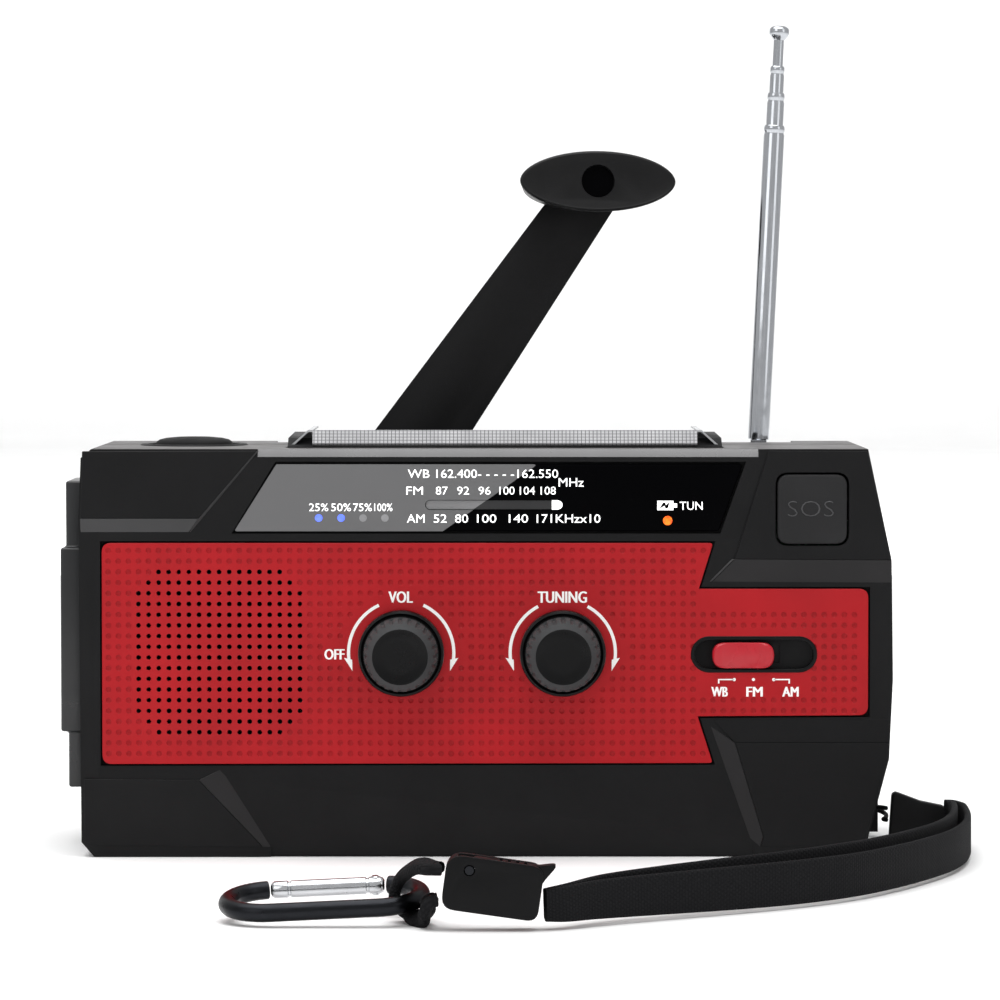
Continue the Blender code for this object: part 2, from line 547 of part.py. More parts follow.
def smooth_route(points, steps):
    """A curve through the points, with steps samples between each pair."""
    ends = [2 * Vector(points[0]) - Vector(points[1]), 2 * Vector(points[-1]) - Vector(points[-2])]
    knots = [ends[0]] + [Vector(p) for p in points] + [ends[1]]
    found = []
    for a, b, c, d in zip(knots, knots[1:], knots[2:], knots[3:]):
        for i in range(steps):
            t = i / steps
            found.append(0.5 * (2 * b + (c - a) * t + (2 * a - 5 * b + 4 * c - d) * t**2
                                + (3 * b - a - 3 * c + d) * t**3))
    return found + [knots[-2]]


def ribbon(name, route, width, thick, upright, look, steps=2):
    """A flat band along the route; its width stands along upright."""
    route = smooth_route(route, steps)
    bm = bmesh.new()
    rings = []
    for i, point in enumerate(route):
        ahead = (route[min(i + 1, len(route) - 1)] - route[max(i - 1, 0)]).normalized()
        tall = (upright - ahead * upright.dot(ahead)).normalized() * width / 2
        flat = ahead.cross(tall).normalized() * thick / 2
        corners = (point + tall + flat, point + tall - flat, point - tall - flat, point - tall + flat)
        rings.append([bm.verts.new(c * MM) for c in corners])
    for one, two in zip(rings, rings[1:]):
        for k in range(4):
            bm.faces.new((one[k], one[(k + 1) % 4], two[(k + 1) % 4], two[k]))
    bm.faces.new(rings[0])
    bm.faces.new(reversed(rings[-1]))
    return add_object(name, bm, look)


def tube(name, points, radius, look, resolution=2):
    """A round bar along the points: a poly curve with a filled bevel."""
    curve = bpy.data.curves.new(name, "CURVE")
    curve.dimensions = "3D"
    curve.bevel_depth = radius * MM
    curve.bevel_resolution = resolution
    curve.use_fill_caps = True
    spline = curve.splines.new("POLY")
    spline.points.add(len(points) - 1)
    for knot, point in zip(spline.points, points):
        knot.co = (*(Vector(point) * MM), 1.0)
    item = bpy.data.objects.new(name, curve)
    bpy.context.scene.collection.objects.link(item)
    curve.materials.append(finish_material(name, *look))
    return item


# The strap's routes, chosen by hand: the webbing stands on edge on the ground.
CORD_ROUTE = [
    (79.35, -1.9, 6.7), (78.2, -0.2, 6.7), (76.6, 2.6, 6.4), (75.8, 5.4, 6.0), (75.75, 8.2, 5.7),
    (76.5, 10.4, 5.4), (78.0, 11.0, 5.1), (79.3, 9.6, 4.8), (79.9, 7.0, 4.6), (79.8, 3.8, 4.5),
    (79.35, 1.0, 4.4), (78.9, -0.7, 4.4), (79.35, -1.9, 4.4),
]
OUTER_ROUTE = [
    (90.9, -1.1, 4.4), (92.5, -1.8, 4.4), (93.6, -4.6, 4.4), (93.9, -9, 4.5), (93.6, -18, 4.5),
    (92.6, -30, 4.5), (90.6, -42, 4.5), (87.2, -54, 4.5), (82, -66, 4.5), (75, -79, 4.5),
    (66, -92, 4.5), (55, -102.5, 4.5), (43, -111, 4.5), (31, -118.5, 4.5), (20, -126, 4.5),
    (14.4, -130.4, 4.3), (10.8, -132.0, 4.2),
]
INNER_ROUTE = [
    (91.0, -2.9, 4.4), (91.6, -3.6, 4.4), (91.8, -5.6, 4.6), (91.8, -9, 5.0), (91.2, -18, 5.5),
    (90.0, -29.5, 5.8), (88.0, -41, 5.8), (84.6, -52.5, 5.8), (79.4, -64, 5.8), (72.3, -76.5, 5.8),
    (63.3, -88.5, 5.8), (52.5, -98.7, 5.6), (41, -107, 5.4), (30, -114.2, 5.1), (20.5, -121, 4.8),
    (14.6, -127.2, 4.4), (10.8, -129.9, 4.2),
]
LOOP_ROUTE = [
    (-7.3, -131.0, 10.4), (-8.3, -130.8, 10.4), (-10.4, -127.4, 10.2), (-12.2, -123.2, 9.2),
    (-14.2, -121.2, 7.2), (-15.1, -121, 4.6), (-14.0, -121.2, 2.4), (-11.5, -122.6, 1.3),
    (-9.9, -126.4, 1.9), (-9.5, -129.6, 3.5), (-8.7, -130.9, 4.8), (-7.6, -131.0, 5.1),
]
WEBBING_SIZE, LOOP_SIZE = (7.9, 1.3), (4.4, 1.6)


def make_strap():
    tube("strap_cord", smooth_route(CORD_ROUTE, 2), 0.45, WEBBING)
    tab = [(79.8, 0.4), (90.2, 0.4), (90.2, 7.2), (86.0, 8.2), (80.4, 10.3)]
    extruded("strap_tab", tab, -3.5, -0.6, WEBBING)
    ribbon("strap_outer_run", OUTER_ROUTE, *WEBBING_SIZE, Z, WEBBING)
    ribbon("strap_inner_run", INNER_ROUTE, *WEBBING_SIZE, Z, WEBBING)
    ribbon("strap_loop", LOOP_ROUTE, *LOOP_SIZE, Y, WEBBING)
    make_lock()
    make_carabiner()


def make_lock():
    frame = at(LOCK_CENTRE) @ Matrix.Rotation(LOCK_TILT, 4, "Y")
    half = Vector(LOCK_SIZE) / 2
    body = block("lock_body", -half, half, BLACK)
    slot = block("cut_lock_slot", (-6.5, -1.7, -0.9), (9.5, 1.7, 6), None)
    hole = rod("cut_lock_hole", (-4.3, -4, 2.4), Y, 1.2, 8, None, 12)
    cut(body, slot, hole)
    lever_outline = [
        (-5.9, 0.4), (7.6, 0.4), (8.8, 2.6), (10.6, 5.4), (7.4, 4.6), (-3.5, 4.6), (-5.9, 3.2),
    ]
    lever = extruded("lock_lever", lever_outline, -1.35, 1.35, BLACK)
    lever_hole = rod("cut_lever_hole", (-4.3, -4, 2.4), Y, 1.2, 8, None, 12)
    cut(lever, lever_hole)
    pin = rod("lock_pin", (-4.3, -half.y, 2.4), Y, 0.9, LOCK_SIZE[1], STEEL, 12)
    placed(frame, body, slot, hole, lever, lever_hole, pin)


def make_carabiner():
    frame = at(RING_ORIGIN) @ Matrix.Rotation(-RING_SLOPE, 4, "Y") @ Matrix.Rotation(RING_TILT, 4, "X")
    radius = RING_WIDTH / 2
    far, near = RING_LENGTH - radius, radius
    points = [(-GATE_SPAN[1] - 0.4, RING_WIDTH, 0)]
    for i in range(1, 13):
        turn = math.radians(90 - 15 * i)
        points.append((-far - radius * math.cos(turn), radius + radius * math.sin(turn), 0))
    points += [(-x, 0, 0) for x in (20.0, 14.0)]
    for i in range(12):
        turn = math.radians(-90 - 14.5 * i)
        points.append((-near - radius * math.cos(turn), radius + radius * math.sin(turn), 0))
    bar = tube("carabiner", points, BAR_R, BLACK, 2)
    gate = rod("carabiner_gate", (-GATE_SPAN[0], RING_WIDTH - 0.1, 0), -X, 1.5, GATE_SPAN[1] - GATE_SPAN[0],
               STEEL, 12)
    placed(frame, bar, gate)


def main():
    clear_scene()
    shared = top_cutters()
    make_front_shell(shared)
    make_rear_shell(shared)
    make_screws()
    make_front_face()
    make_controls()
    make_dial_drive()
    make_insides()
    make_lid()
    make_crank_train()
    make_crank()
    make_mast()
    make_port_cover()
    make_strap()


main()
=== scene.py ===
"""The looks of a hand-crank emergency radio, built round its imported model.

Sizes here are in millimetres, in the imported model's own frame, and `mm` turns them into metres.
Each section makes one part of the radio: its pieces, then what they ride on and which nodes they replace.
"""

import math

import bmesh
import bpy
from mathutils import Matrix, Vector


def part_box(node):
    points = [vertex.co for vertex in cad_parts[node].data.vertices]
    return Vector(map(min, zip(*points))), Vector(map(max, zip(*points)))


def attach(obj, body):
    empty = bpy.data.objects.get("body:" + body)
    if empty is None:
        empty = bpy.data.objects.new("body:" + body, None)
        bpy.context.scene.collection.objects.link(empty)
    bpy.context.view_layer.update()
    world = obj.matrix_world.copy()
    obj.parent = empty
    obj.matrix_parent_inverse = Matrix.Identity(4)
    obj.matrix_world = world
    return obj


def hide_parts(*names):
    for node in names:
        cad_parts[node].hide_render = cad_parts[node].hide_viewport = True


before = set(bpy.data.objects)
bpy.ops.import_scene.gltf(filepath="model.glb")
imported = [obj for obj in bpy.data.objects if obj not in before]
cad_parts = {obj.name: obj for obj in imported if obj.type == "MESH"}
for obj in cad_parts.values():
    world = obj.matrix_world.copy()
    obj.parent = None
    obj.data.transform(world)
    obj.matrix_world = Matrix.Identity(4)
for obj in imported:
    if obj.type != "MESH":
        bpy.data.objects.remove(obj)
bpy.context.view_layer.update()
MM = 0.001
X, Y, Z = Vector((1, 0, 0)), Vector((0, 1, 0)), Vector((0, 0, 1))

FRONT, PANEL_FRONT = -26.5, -26.8  # the faces of the front shell and of the red panel


# ---------------------------------------------------------------- materials

def srgb(red, green, blue):
    """A screen colour, 0 to 255, as the linear colour a shader takes."""
    def linear(value):
        value /= 255
        return value / 12.92 if value <= 0.04045 else ((value + 0.055) / 1.055) ** 2.4
    return (linear(red), linear(green), linear(blue), 1.0)


def scaled(colour, share):
    return tuple(min(1, c * share) for c in colour[:3]) + (1,)


class Finish:
    """A material whose nodes are added one call at a time."""

    def __init__(self, name, roughness, metallic=0.0, **shader):
        self.material = bpy.data.materials.new(name)
        self.material.use_nodes = True
        self.tree = self.material.node_tree
        self.shader = self.tree.nodes["Principled BSDF"]
        self.shader.inputs["Metallic"].default_value = metallic
        self.shader.inputs["Roughness"].default_value = roughness
        for socket, value in shader.items():
            self.shader.inputs[socket.replace("_", " ")].default_value = value
        self.place = self.add("ShaderNodeTexCoord").outputs["Object"]

    def add(self, kind, inputs=None, **settings):
        node = self.tree.nodes.new(kind)
        for key, value in settings.items():
            setattr(node, key, value)
        for key, value in (inputs or {}).items():
            if isinstance(value, bpy.types.NodeSocket):
                self.tree.links.new(value, node.inputs[key])
            else:
                node.inputs[key].default_value = value
        return node

    def link(self, output, socket):
        self.tree.links.new(output, self.shader.inputs[socket])

    def noise(self, size, detail=3.0, stretch=(1, 1, 1)):
        """Noise whose lumps are about this many millimetres across."""
        spot = self.add("ShaderNodeVectorMath", {0: self.place, 1: stretch}, operation="MULTIPLY")
        inputs = {"Vector": spot.outputs[0], "Scale": 1 / (size * MM), "Detail": detail}
        return self.add("ShaderNodeTexNoise", inputs).outputs["Fac"]

    def between(self, factor, low, high):
        """factor, about 0.3 to 0.7, spread from low to high."""
        inputs = {"Value": factor, "From Min": 0.3, "From Max": 0.7, "To Min": low, "To Max": high}
        return self.add("ShaderNodeMapRange", inputs).outputs["Result"]

    def blend(self, factor, one, two):
        inputs = {"Factor": factor, 6: one, 7: two}
        return self.add("ShaderNodeMix", inputs, data_type="RGBA").outputs[2]

    def paint(self, factor, one, two):
        self.link(self.blend(factor, one, two), "Base Color")

    def math(self, operation, one, two=0.0, three=0.0):
        return self.add("ShaderNodeMath", {0: one, 1: two, 2: three}, operation=operation).outputs[0]

    def stripes(self, along, pitch, share):
        """1 on lines that repeat every pitch millimetres and take this share of it, 0 between them."""
        return self.math("LESS_THAN", self.math("FRACT", self.math("MULTIPLY", along, 1 / (pitch * MM))), share)

    def bump(self, height, distance):
        """Raises the surface by distance, in millimetres, where height is 1."""
        inputs = {"Height": height, "Distance": distance * MM, "Strength": 1.0}
        self.link(self.add("ShaderNodeBump", inputs).outputs["Normal"], "Normal")


def moulded(name, colour, roughness, grain, depth, tone=0.12, spread=0.06, shine=0.5, **shader):
    """Moulded plastic or rubber: fine spark-eroded grain, faint cloudy tone and patchy gloss."""
    made = Finish(name, roughness, Specular_IOR_Level=shine, **shader)
    cloud, colour = made.between(made.noise(14, 2.0), 0.0, 1.0), srgb(*colour)
    made.paint(cloud, scaled(colour, 1 - tone), scaled(colour, 1 + tone))
    made.link(made.between(made.noise(5, 4.0), roughness - spread, roughness + spread), "Roughness")
    made.bump(made.noise(grain, 4.0), depth)
    return made.material


def metal(name, colour, roughness, stretch=(1, 1, 1), depth=0.004, spread=0.08):
    """Metal with fine drawn scratches along whichever axis stretch shrinks."""
    made = Finish(name, roughness, 1.0)
    lines, colour = made.noise(0.4, 5.0, stretch=stretch), srgb(*colour)
    made.paint(made.between(lines, 0.0, 1.0), scaled(colour, 0.86), colour)
    made.link(made.between(made.noise(3, 3.0), max(0.02, roughness - spread), roughness + spread), "Roughness")
    made.bump(lines, depth)
    return made.material


BLACK = moulded("case_black", (19, 19, 20), 0.5, 0.3, 0.02, shine=0.14)
# The next two are lighter copies of the case black: painted highlights for the sloped facets and edges that catch the
# light.
FACET_HIGHLIGHT = moulded("facet_painted_highlight", (34, 33, 34), 0.46, 0.3, 0.015, shine=0.2)
LIP_HIGHLIGHT = moulded("lip_painted_highlight", (48, 48, 49), 0.4, 0.3, 0.01, shine=0.4)
SATIN = moulded("satin_black", (11, 11, 12), 0.3, 0.5, 0.008, shine=0.14)
RED = moulded("panel_red", (164, 18, 26), 0.42, 0.4, 0.02, tone=0.07, shine=0.2)
# A darker copy of the panel red for the insides of the dimples: painted shade.
DIMPLE_SHADE_RED = moulded("dimple_painted_shade", (148, 12, 20), 0.5, 0.3, 0.01, shine=0.2)
SLIDER_RED = moulded("slider_red", (176, 26, 40), 0.3, 0.6, 0.006, tone=0.06,
                     shine=0.35, Coat_Weight=0.15, Coat_Roughness=0.12)
RUBBER = moulded("rubber_black", (22, 22, 23), 0.72, 0.25, 0.035, shine=0.2)
GLOSS = moulded("window_black", (3, 3, 4), 0.08, 2.0, 0.001, spread=0.03, shine=0.02)
CHROME = metal("mast_chrome", (196, 199, 204), 0.14, stretch=(1, 1, 0.08), depth=0.002)
STEEL = metal("steel", (150, 152, 156), 0.32, stretch=(1, 0.2, 1))
GATE_SILVER = metal("gate_silver", (205, 207, 210), 0.2, stretch=(0.1, 1, 1), depth=0.002)
BRASS = metal("brass", (190, 150, 78), 0.3)
BAR_BLACK = metal("bar_black", (40, 41, 44), 0.34, stretch=(0.3, 1, 1), depth=0.003)


# ---------------------------------------------------------------- shapes

def mm(*point):
    return Vector(point) * MM


def rounded(outline, radius, steps=5):
    """An outline in the plane with each corner turned into an arc; radius is one number or one a corner."""
    found = []
    count = len(outline)
    radii = [radius] * count if isinstance(radius, (int, float)) else radius
    for i, corner in enumerate(outline):
        here = Vector(corner)
        back, ahead = Vector(outline[i - 1]) - here, Vector(outline[(i + 1) % count]) - here
        half = back.angle(ahead) / 2
        reach = min(radii[i] / math.tan(half), back.length * 0.49, ahead.length * 0.49) if radii[i] else 0
        if reach < 1e-6:
            found.append(tuple(here))
            continue
        one, two = here + back.normalized() * reach, here + ahead.normalized() * reach
        for k in range(steps + 1):
            t = k / steps
            found.append(tuple(one * (1 - t) ** 2 + here * 2 * t * (1 - t) + two * t * t))
    return found


def polar(radius, turn, centre=(0, 0)):
    return (centre[0] + radius * math.cos(turn), centre[1] + radius * math.sin(turn))


def rectangle(x1, z1, x2, z2):
    return [(x1, z1), (x2, z1), (x2, z2), (x1, z2)]


def stadium(centre, size, steps=12):
    """An outline with round ends, longer in x than in z."""
    end = size[1] / 2
    reach = size[0] / 2 - end
    found = []
    for side, start in ((1, -90), (-1, 90)):
        for i in range(steps + 1):
            turn = math.radians(start + 180 * i / steps)
            found.append((centre[0] + side * reach + end * math.cos(turn), centre[1] + end * math.sin(turn)))
    return found


def lofted(*loops):
    """Skins the loops of points, in millimetres, one after the other, and caps both ends."""
    bm = bmesh.new()
    rings = [[bm.verts.new(Vector(p) * MM) for p in loop] for loop in loops]
    for one, two in zip(rings, rings[1:]):
        for k in range(len(one)):
            bm.faces.new((one[k - 1], one[k], two[k], two[k - 1]))
    bm.faces.new(reversed(rings[0]))
    bm.faces.new(rings[-1])
    bmesh.ops.recalc_face_normals(bm, faces=bm.faces)
    return bm


def prism(outline, low, high, along="Y", inset=0.0):
    """An outline pushed from low to high along an axis; inset shrinks the low end, for a chamfer."""
    def stand(loop, at):
        if along == "Y":
            return [(a, at, b) for a, b in loop]
        return [(at, a, b) for a, b in loop] if along == "X" else [(a, b, at) for a, b in loop]
    if not inset:
        return lofted(stand(outline, low), stand(outline, high))
    small = shrunk(outline, inset)
    return lofted(stand(small, low), stand(outline, low + math.copysign(inset, high - low)), stand(outline, high))


def shrunk(outline, distance):
    """The outline moved inwards by distance; negative grows it."""
    points = [Vector(p) for p in outline]
    area = sum(a.x * b.y - b.x * a.y for a, b in zip(points, points[1:] + points[:1]))
    side = math.copysign(1, area)
    found = []
    for i, here in enumerate(points):
        one = (here - points[i - 1]).normalized()
        two = (points[(i + 1) % len(points)] - here).normalized()
        inward = (Vector((-one.y, one.x)) + Vector((-two.y, two.x))) * side
        if inward.length < 1e-6:
            found.append(tuple(here))
            continue
        inward.normalize()
        lean = max(0.35, inward.dot(Vector((-one.y, one.x)) * side))
        found.append(tuple(here + inward * distance / lean))
    return found


def turned(profile, base=(0, 0, 0), axis=Z, sides=64, ripple=None):
    """A profile of (radius, height) turned about an axis; ripple(radius, height, angle) scales the radius."""
    up = Vector(axis).normalized()
    across = (X if abs(up.x) < 0.9 else Y).cross(up).normalized()
    third = up.cross(across)
    bm = bmesh.new()
    rings = []
    for radius, height in profile:
        ring = []
        for i in range(sides if radius > 1e-6 else 1):
            turn = 2 * math.pi * i / sides
            reach = radius * (ripple(radius, height, turn) if ripple else 1.0)
            out = (across * math.cos(turn) + third * math.sin(turn)) * reach
            ring.append(bm.verts.new((Vector(base) + up * height + out) * MM))
        rings.append(ring)
    for one, two in zip(rings, rings[1:]):
        for k in range(sides):
            corners = [one[k % len(one)], one[(k + 1) % len(one)], two[(k + 1) % len(two)], two[k % len(two)]]
            corners = [v for i, v in enumerate(corners) if v not in corners[:i]]
            if len(corners) > 2:
                bm.faces.new(corners)
    for ring in (rings[0], rings[-1]):
        if len(ring) > 1:
            bm.faces.new(ring)
    bmesh.ops.recalc_face_normals(bm, faces=bm.faces)
    return bm


def rod(radius, low, high, base, axis, sides):
    return turned([(0, low), (radius, low), (radius, high), (0, high)], base, axis, sides)


def joined(*parts):
    """One bmesh that holds several."""
    whole = parts[0]
    for part in parts[1:]:
        held = bpy.data.meshes.new("held")
        part.to_mesh(held)
        part.free()
        whole.from_mesh(held)
        bpy.data.meshes.remove(held)
    return whole


def moved(bm, matrix):
    bm.transform(matrix)
    return bm


def at(x, y, z):
    return Matrix.Translation(mm(x, y, z))


# ---------------------------------------------------------------- pieces

def linked(name, data):
    """A new object in the scene; data may be a bmesh, which is used up."""
    if isinstance(data, bmesh.types.BMesh):
        bm, data = data, bpy.data.meshes.new(name)
        bm.to_mesh(data)
        bm.free()
    made = bpy.data.objects.new(name, data)
    bpy.context.scene.collection.objects.link(made)
    return made


def piece(name, bm, material, body="case", replaces=None, slot=None, bevel=0.0, segments=2, smooth=35, cutters=()):
    """Makes a bmesh into a piece that rides on a body: cut, then bevelled, then shaded smooth."""
    made = linked(name, bm)
    tools = [linked(f"cutter_{i}", cutter) for i, cutter in enumerate(cutters)]
    for tool in tools:
        cut = made.modifiers.new("cut", "BOOLEAN")
        cut.operation, cut.object, cut.solver = "DIFFERENCE", tool, "MANIFOLD"
    if bevel:
        edge = made.modifiers.new("edge", "BEVEL")
        edge.width, edge.segments, edge.limit_method = bevel * MM, segments, "ANGLE"
        edge.angle_limit, edge.use_clamp_overlap = math.radians(28), True
    if made.modifiers:
        graph = bpy.context.evaluated_depsgraph_get()
        mesh = bpy.data.meshes.new_from_object(made.evaluated_get(graph))
        made.modifiers.clear()
        made.data = mesh
    for tool in tools:
        mesh = tool.data
        bpy.data.objects.remove(tool)
        bpy.data.meshes.remove(mesh)
    made.data.materials.clear()
    made.data.materials.append(material)
    if smooth:
        shade(made, smooth)
    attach(made, body)
    if replaces:
        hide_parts(replaces)
    return made


def stand_in(node, bm, material, **rest):
    """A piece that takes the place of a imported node."""
    return piece(f"{node}_visual", bm, material, replaces=node, **rest)


def shade(made, angle):
    """Smooth shading, sharp across edges steeper than angle, in degrees."""
    for face in made.data.polygons:
        face.use_smooth = True
    made.data.set_sharp_from_angle(angle=math.radians(angle))


def two_tone(made, extra, pick):
    """Gives the piece more materials; pick(face, centre) is the material's place in the list, 0 for the first."""
    for material in extra:
        made.data.materials.append(material)
    for face in made.data.polygons:
        face.material_index = pick(face, face.center / MM)


def node_copy(node):
    """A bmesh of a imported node, its flat faces merged so that its edges can be bevelled."""
    bm = bmesh.new()
    bm.from_mesh(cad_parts[node].data)
    bmesh.ops.remove_doubles(bm, verts=bm.verts, dist=2e-6)
    bmesh.ops.dissolve_limit(bm, angle_limit=math.radians(0.6), verts=bm.verts, edges=bm.edges)
    return bm


# ---------------------------------------------------------------- camera, light and floor

def set_the_stage():
    """The photograph's viewpoint: level with the crank's hub, about a metre in front, looking slightly down."""
    scene = bpy.context.scene
    camera = linked("camera", bpy.data.cameras.new("camera"))
    camera.location = mm(3.06, -926.5, 107)
    camera.rotation_euler = (math.radians(90 - 2.44), 0, 0)
    camera.data.sensor_width, camera.data.lens = 36, 169.2
    camera.data.clip_start, camera.data.clip_end = 0.05, 20
    scene.camera = camera

    bm = bmesh.new()
    reach, rise, radius = 3.0, 1.8, 0.5
    loops = [(-reach, 0.0), (reach - radius, 0.0)]
    for t in range(1, 9):
        turn = t * math.pi / 16
        loops.append((reach - radius + radius * math.sin(turn), radius - radius * math.cos(turn)))
    loops.append((reach, rise))
    rows = [[bm.verts.new((x, y, z - 0.0001)) for x in (-reach, reach)] for y, z in loops]
    for one, two in zip(rows, rows[1:]):
        bm.faces.new((one[0], one[1], two[1], two[0]))
    floor = linked("floor", bm)
    for face in floor.data.polygons:
        face.use_smooth = True
    paper = Finish("floor_paper", 0.7)
    cloud = paper.between(paper.noise(60), 0, 1)
    paper.paint(cloud, srgb(250, 250, 250), srgb(253, 253, 253))
    floor.data.materials.append(paper.material)

    def softbox(name, place, aim, size, power):
        light = linked(name, bpy.data.lights.new(name, "AREA"))
        light.data.shape, light.data.size, light.data.size_y = "RECTANGLE", size[0], size[1]
        light.data.energy = power
        light.location = place
        light.rotation_euler = (Vector(aim) - Vector(place)).to_track_quat("-Z", "Y").to_euler()

    softbox("overhead", (-0.1, -0.1, 1.3), (0, 0, 0.05), (1.6, 1.2), 20)
    softbox("front_left", (-1.0, -1.2, 0.9), (0, 0, 0.08), (0.9, 0.9), 3.4)
    softbox("front_right", (1.2, -1.0, 0.6), (0, 0, 0.08), (0.6, 1.0), 1.8)
    softbox("backdrop", (0, 0.9, 0.5), (0, 2.6, 0.5), (2.4, 1.2), 22)
    world = bpy.data.worlds.new("studio")
    world.use_nodes = True
    world.node_tree.nodes["Background"].inputs["Color"].default_value = (1, 1, 1, 1)
    world.node_tree.nodes["Background"].inputs["Strength"].default_value = 0.6
    scene.world = world
    scene.view_settings.view_transform = "Standard"


set_the_stage()


# ---------------------------------------------------------------- strap: cords, lock and carabiner

CORD_ROUTE = [
    (79.35, -1.9, 6.7), (78.2, -0.2, 6.7), (76.6, 2.6, 6.4), (75.8, 5.4, 6.0), (75.75, 8.2, 5.7),
    (76.5, 10.4, 5.4), (78.0, 11.0, 5.1), (79.3, 9.6, 4.8), (79.9, 7.0, 4.6), (79.8, 3.8, 4.5),
    (79.35, 1.0, 4.4), (78.9, -0.7, 4.4), (79.35, -1.9, 4.4),
]
OUTER_ROUTE = [
    (90.9, -1.1, 4.4), (92.5, -1.8, 4.4), (93.6, -4.6, 4.4), (93.9, -9, 4.5), (93.6, -18, 4.5),
    (92.6, -30, 4.5), (90.6, -42, 4.5), (87.2, -54, 4.5), (82, -66, 4.5), (75, -79, 4.5),
    (66, -92, 4.5), (55, -102.5, 4.5), (43, -111, 4.5), (31, -118.5, 4.5), (20, -126, 4.5),
    (14.4, -130.4, 4.3), (10.8, -132.0, 4.2),
]
INNER_ROUTE = [
    (91.0, -2.9, 4.4), (91.6, -3.6, 4.4), (91.8, -5.6, 4.6), (91.8, -9, 5.0), (91.2, -18, 5.5),
    (90.0, -29.5, 5.8), (88.0, -41, 5.8), (84.6, -52.5, 5.8), (79.4, -64, 5.8), (72.3, -76.5, 5.8),
    (63.3, -88.5, 5.8), (52.5, -98.7, 5.6), (41, -107, 5.4), (30, -114.2, 5.1), (20.5, -121, 4.8),
    (14.6, -127.2, 4.4), (10.8, -129.9, 4.2),
]
LOOP_ROUTE = [
    (-7.3, -131.0, 10.4), (-8.3, -130.8, 10.4), (-10.4, -127.4, 10.2), (-12.2, -123.2, 9.2),
    (-14.2, -121.2, 7.2), (-15.1, -121, 4.6), (-14.0, -121.2, 2.4), (-11.5, -122.6, 1.3),
    (-9.9, -126.4, 1.9), (-9.5, -129.6, 3.5), (-8.7, -130.9, 4.8), (-7.6, -131.0, 5.1),
]


def smooth_route(points, steps):
    """A curve through the points, with steps samples between each pair."""
    first = 2 * Vector(points[0]) - Vector(points[1])
    last = 2 * Vector(points[-1]) - Vector(points[-2])
    knots = [first, *map(Vector, points), last]
    found = []
    for a, b, c, d in zip(knots, knots[1:], knots[2:], knots[3:]):
        for i in range(steps):
            t = i / steps
            found.append(0.5 * (2 * b + (c - a) * t + (2 * a - 5 * b + 4 * c - d) * t**2
                                + (3 * b - a - 3 * c + d) * t**3))
    return found + [knots[-2]]


def woven(name, colour, rib, pitch):
    """Webbing: ribs across the band and a finer weave along them, laid out on the band's own map."""
    made = Finish(name, 0.85, Specular_IOR_Level=0.12)
    spot = made.add("ShaderNodeSeparateXYZ", {0: made.add("ShaderNodeUVMap", uv_map="route").outputs[0]})
    along, across = spot.outputs[0], spot.outputs[1]
    ribs = made.math("ABSOLUTE", made.math("SINE", made.math("MULTIPLY", along, math.pi / rib)))
    shift = made.math("MULTIPLY", made.math("FLOOR", made.math("DIVIDE", along, rib)), math.pi / 2)
    picks = made.math("ABSOLUTE", made.math("SINE", made.math("MULTIPLY_ADD", across, math.pi / pitch, shift)))
    height = made.math("MULTIPLY", ribs, picks)
    fuzz = made.noise(0.12, 2.0)
    # The weave's low places are painted darker, as painted shade in its creases; the fuzz adds a little random tone.
    tone = made.math("MULTIPLY_ADD", height, 0.75, made.math("MULTIPLY", fuzz, 0.3))
    made.paint(tone, scaled(colour, 0.45), colour)
    made.bump(made.math("MULTIPLY_ADD", height, 0.8, made.math("MULTIPLY", fuzz, 0.3)), 0.14)
    return made.material


LOCK = moulded("lock_black", (14, 14, 15), 0.45, 0.3, 0.012, shine=0.12)
PIN = metal("pin_black", (44, 45, 48), 0.4)
TAB = moulded("tab_rubber", (22, 22, 23), 0.6, 0.4, 0.03, shine=0.15)
WEBBING = woven("webbing_black", srgb(26, 26, 28), 0.62, 0.8)
CORD_BLACK = woven("cord_black", srgb(22, 22, 24), 0.5, 0.5)


def stations(route):
    """Each point of the route, with how far along it lies and the way ahead there."""
    run = 0.0
    for i, point in enumerate(route):
        run += (point - route[i - 1]).length if i else 0.0
        yield point, run, (route[min(i + 1, len(route) - 1)] - route[max(i - 1, 0)]).normalized()


def mapped(rings, around):
    """Skins rings of (points, run) and maps them: run along the route, and around across it."""
    bm = bmesh.new()
    layer = bm.loops.layers.uv.new("route")
    rings = [([bm.verts.new(point * MM) for point in ring], run) for ring, run in rings]
    for (one, start), (two, end) in zip(rings, rings[1:]):
        for k in range(len(one)):
            after = (k + 1) % len(one)
            face = bm.faces.new((one[k], one[after], two[after], two[k]))
            spots = ((start, around[k]), (start, around[k + 1]), (end, around[k + 1]), (end, around[k]))
            for loop, spot in zip(face.loops, spots):
                loop[layer].uv = spot
    bm.faces.new(rings[0][0])
    bm.faces.new(rings[-1][0])
    bmesh.ops.recalc_face_normals(bm, faces=bm.faces)
    return bm


def band(route, width, thick, upright, narrow=0.0, pillow=0.28):
    """A flat band along the route with softly rounded edges, its last 30 points drawn in by the share narrow."""
    half, deep = width / 2, thick / 2
    bulge = deep * pillow * 3
    section = []
    for side, start in ((1, -90), (-1, 90)):
        section.append((side * half * 0.45, -side * deep))
        for i in range(5):
            turn = math.radians(start + 180 * i / 4)
            section.append((side * (half - bulge) + bulge * math.cos(turn), deep * math.sin(turn)))
    rings = []
    for i, (point, run, ahead) in enumerate(stations(route)):
        tall = (upright - ahead * upright.dot(ahead)).normalized()
        flat = ahead.cross(tall).normalized()
        drawn = 1 - narrow * max(0.0, 1 - (len(route) - 1 - i) / 30) ** 1.5
        rings.append(([point + tall * a * drawn + flat * b for a, b in section], run))
    around = [0.0]
    for one, two in zip(section, section[1:] + section[:1]):
        around.append(around[-1] + math.dist(one, two))
    return mapped(rings, around)


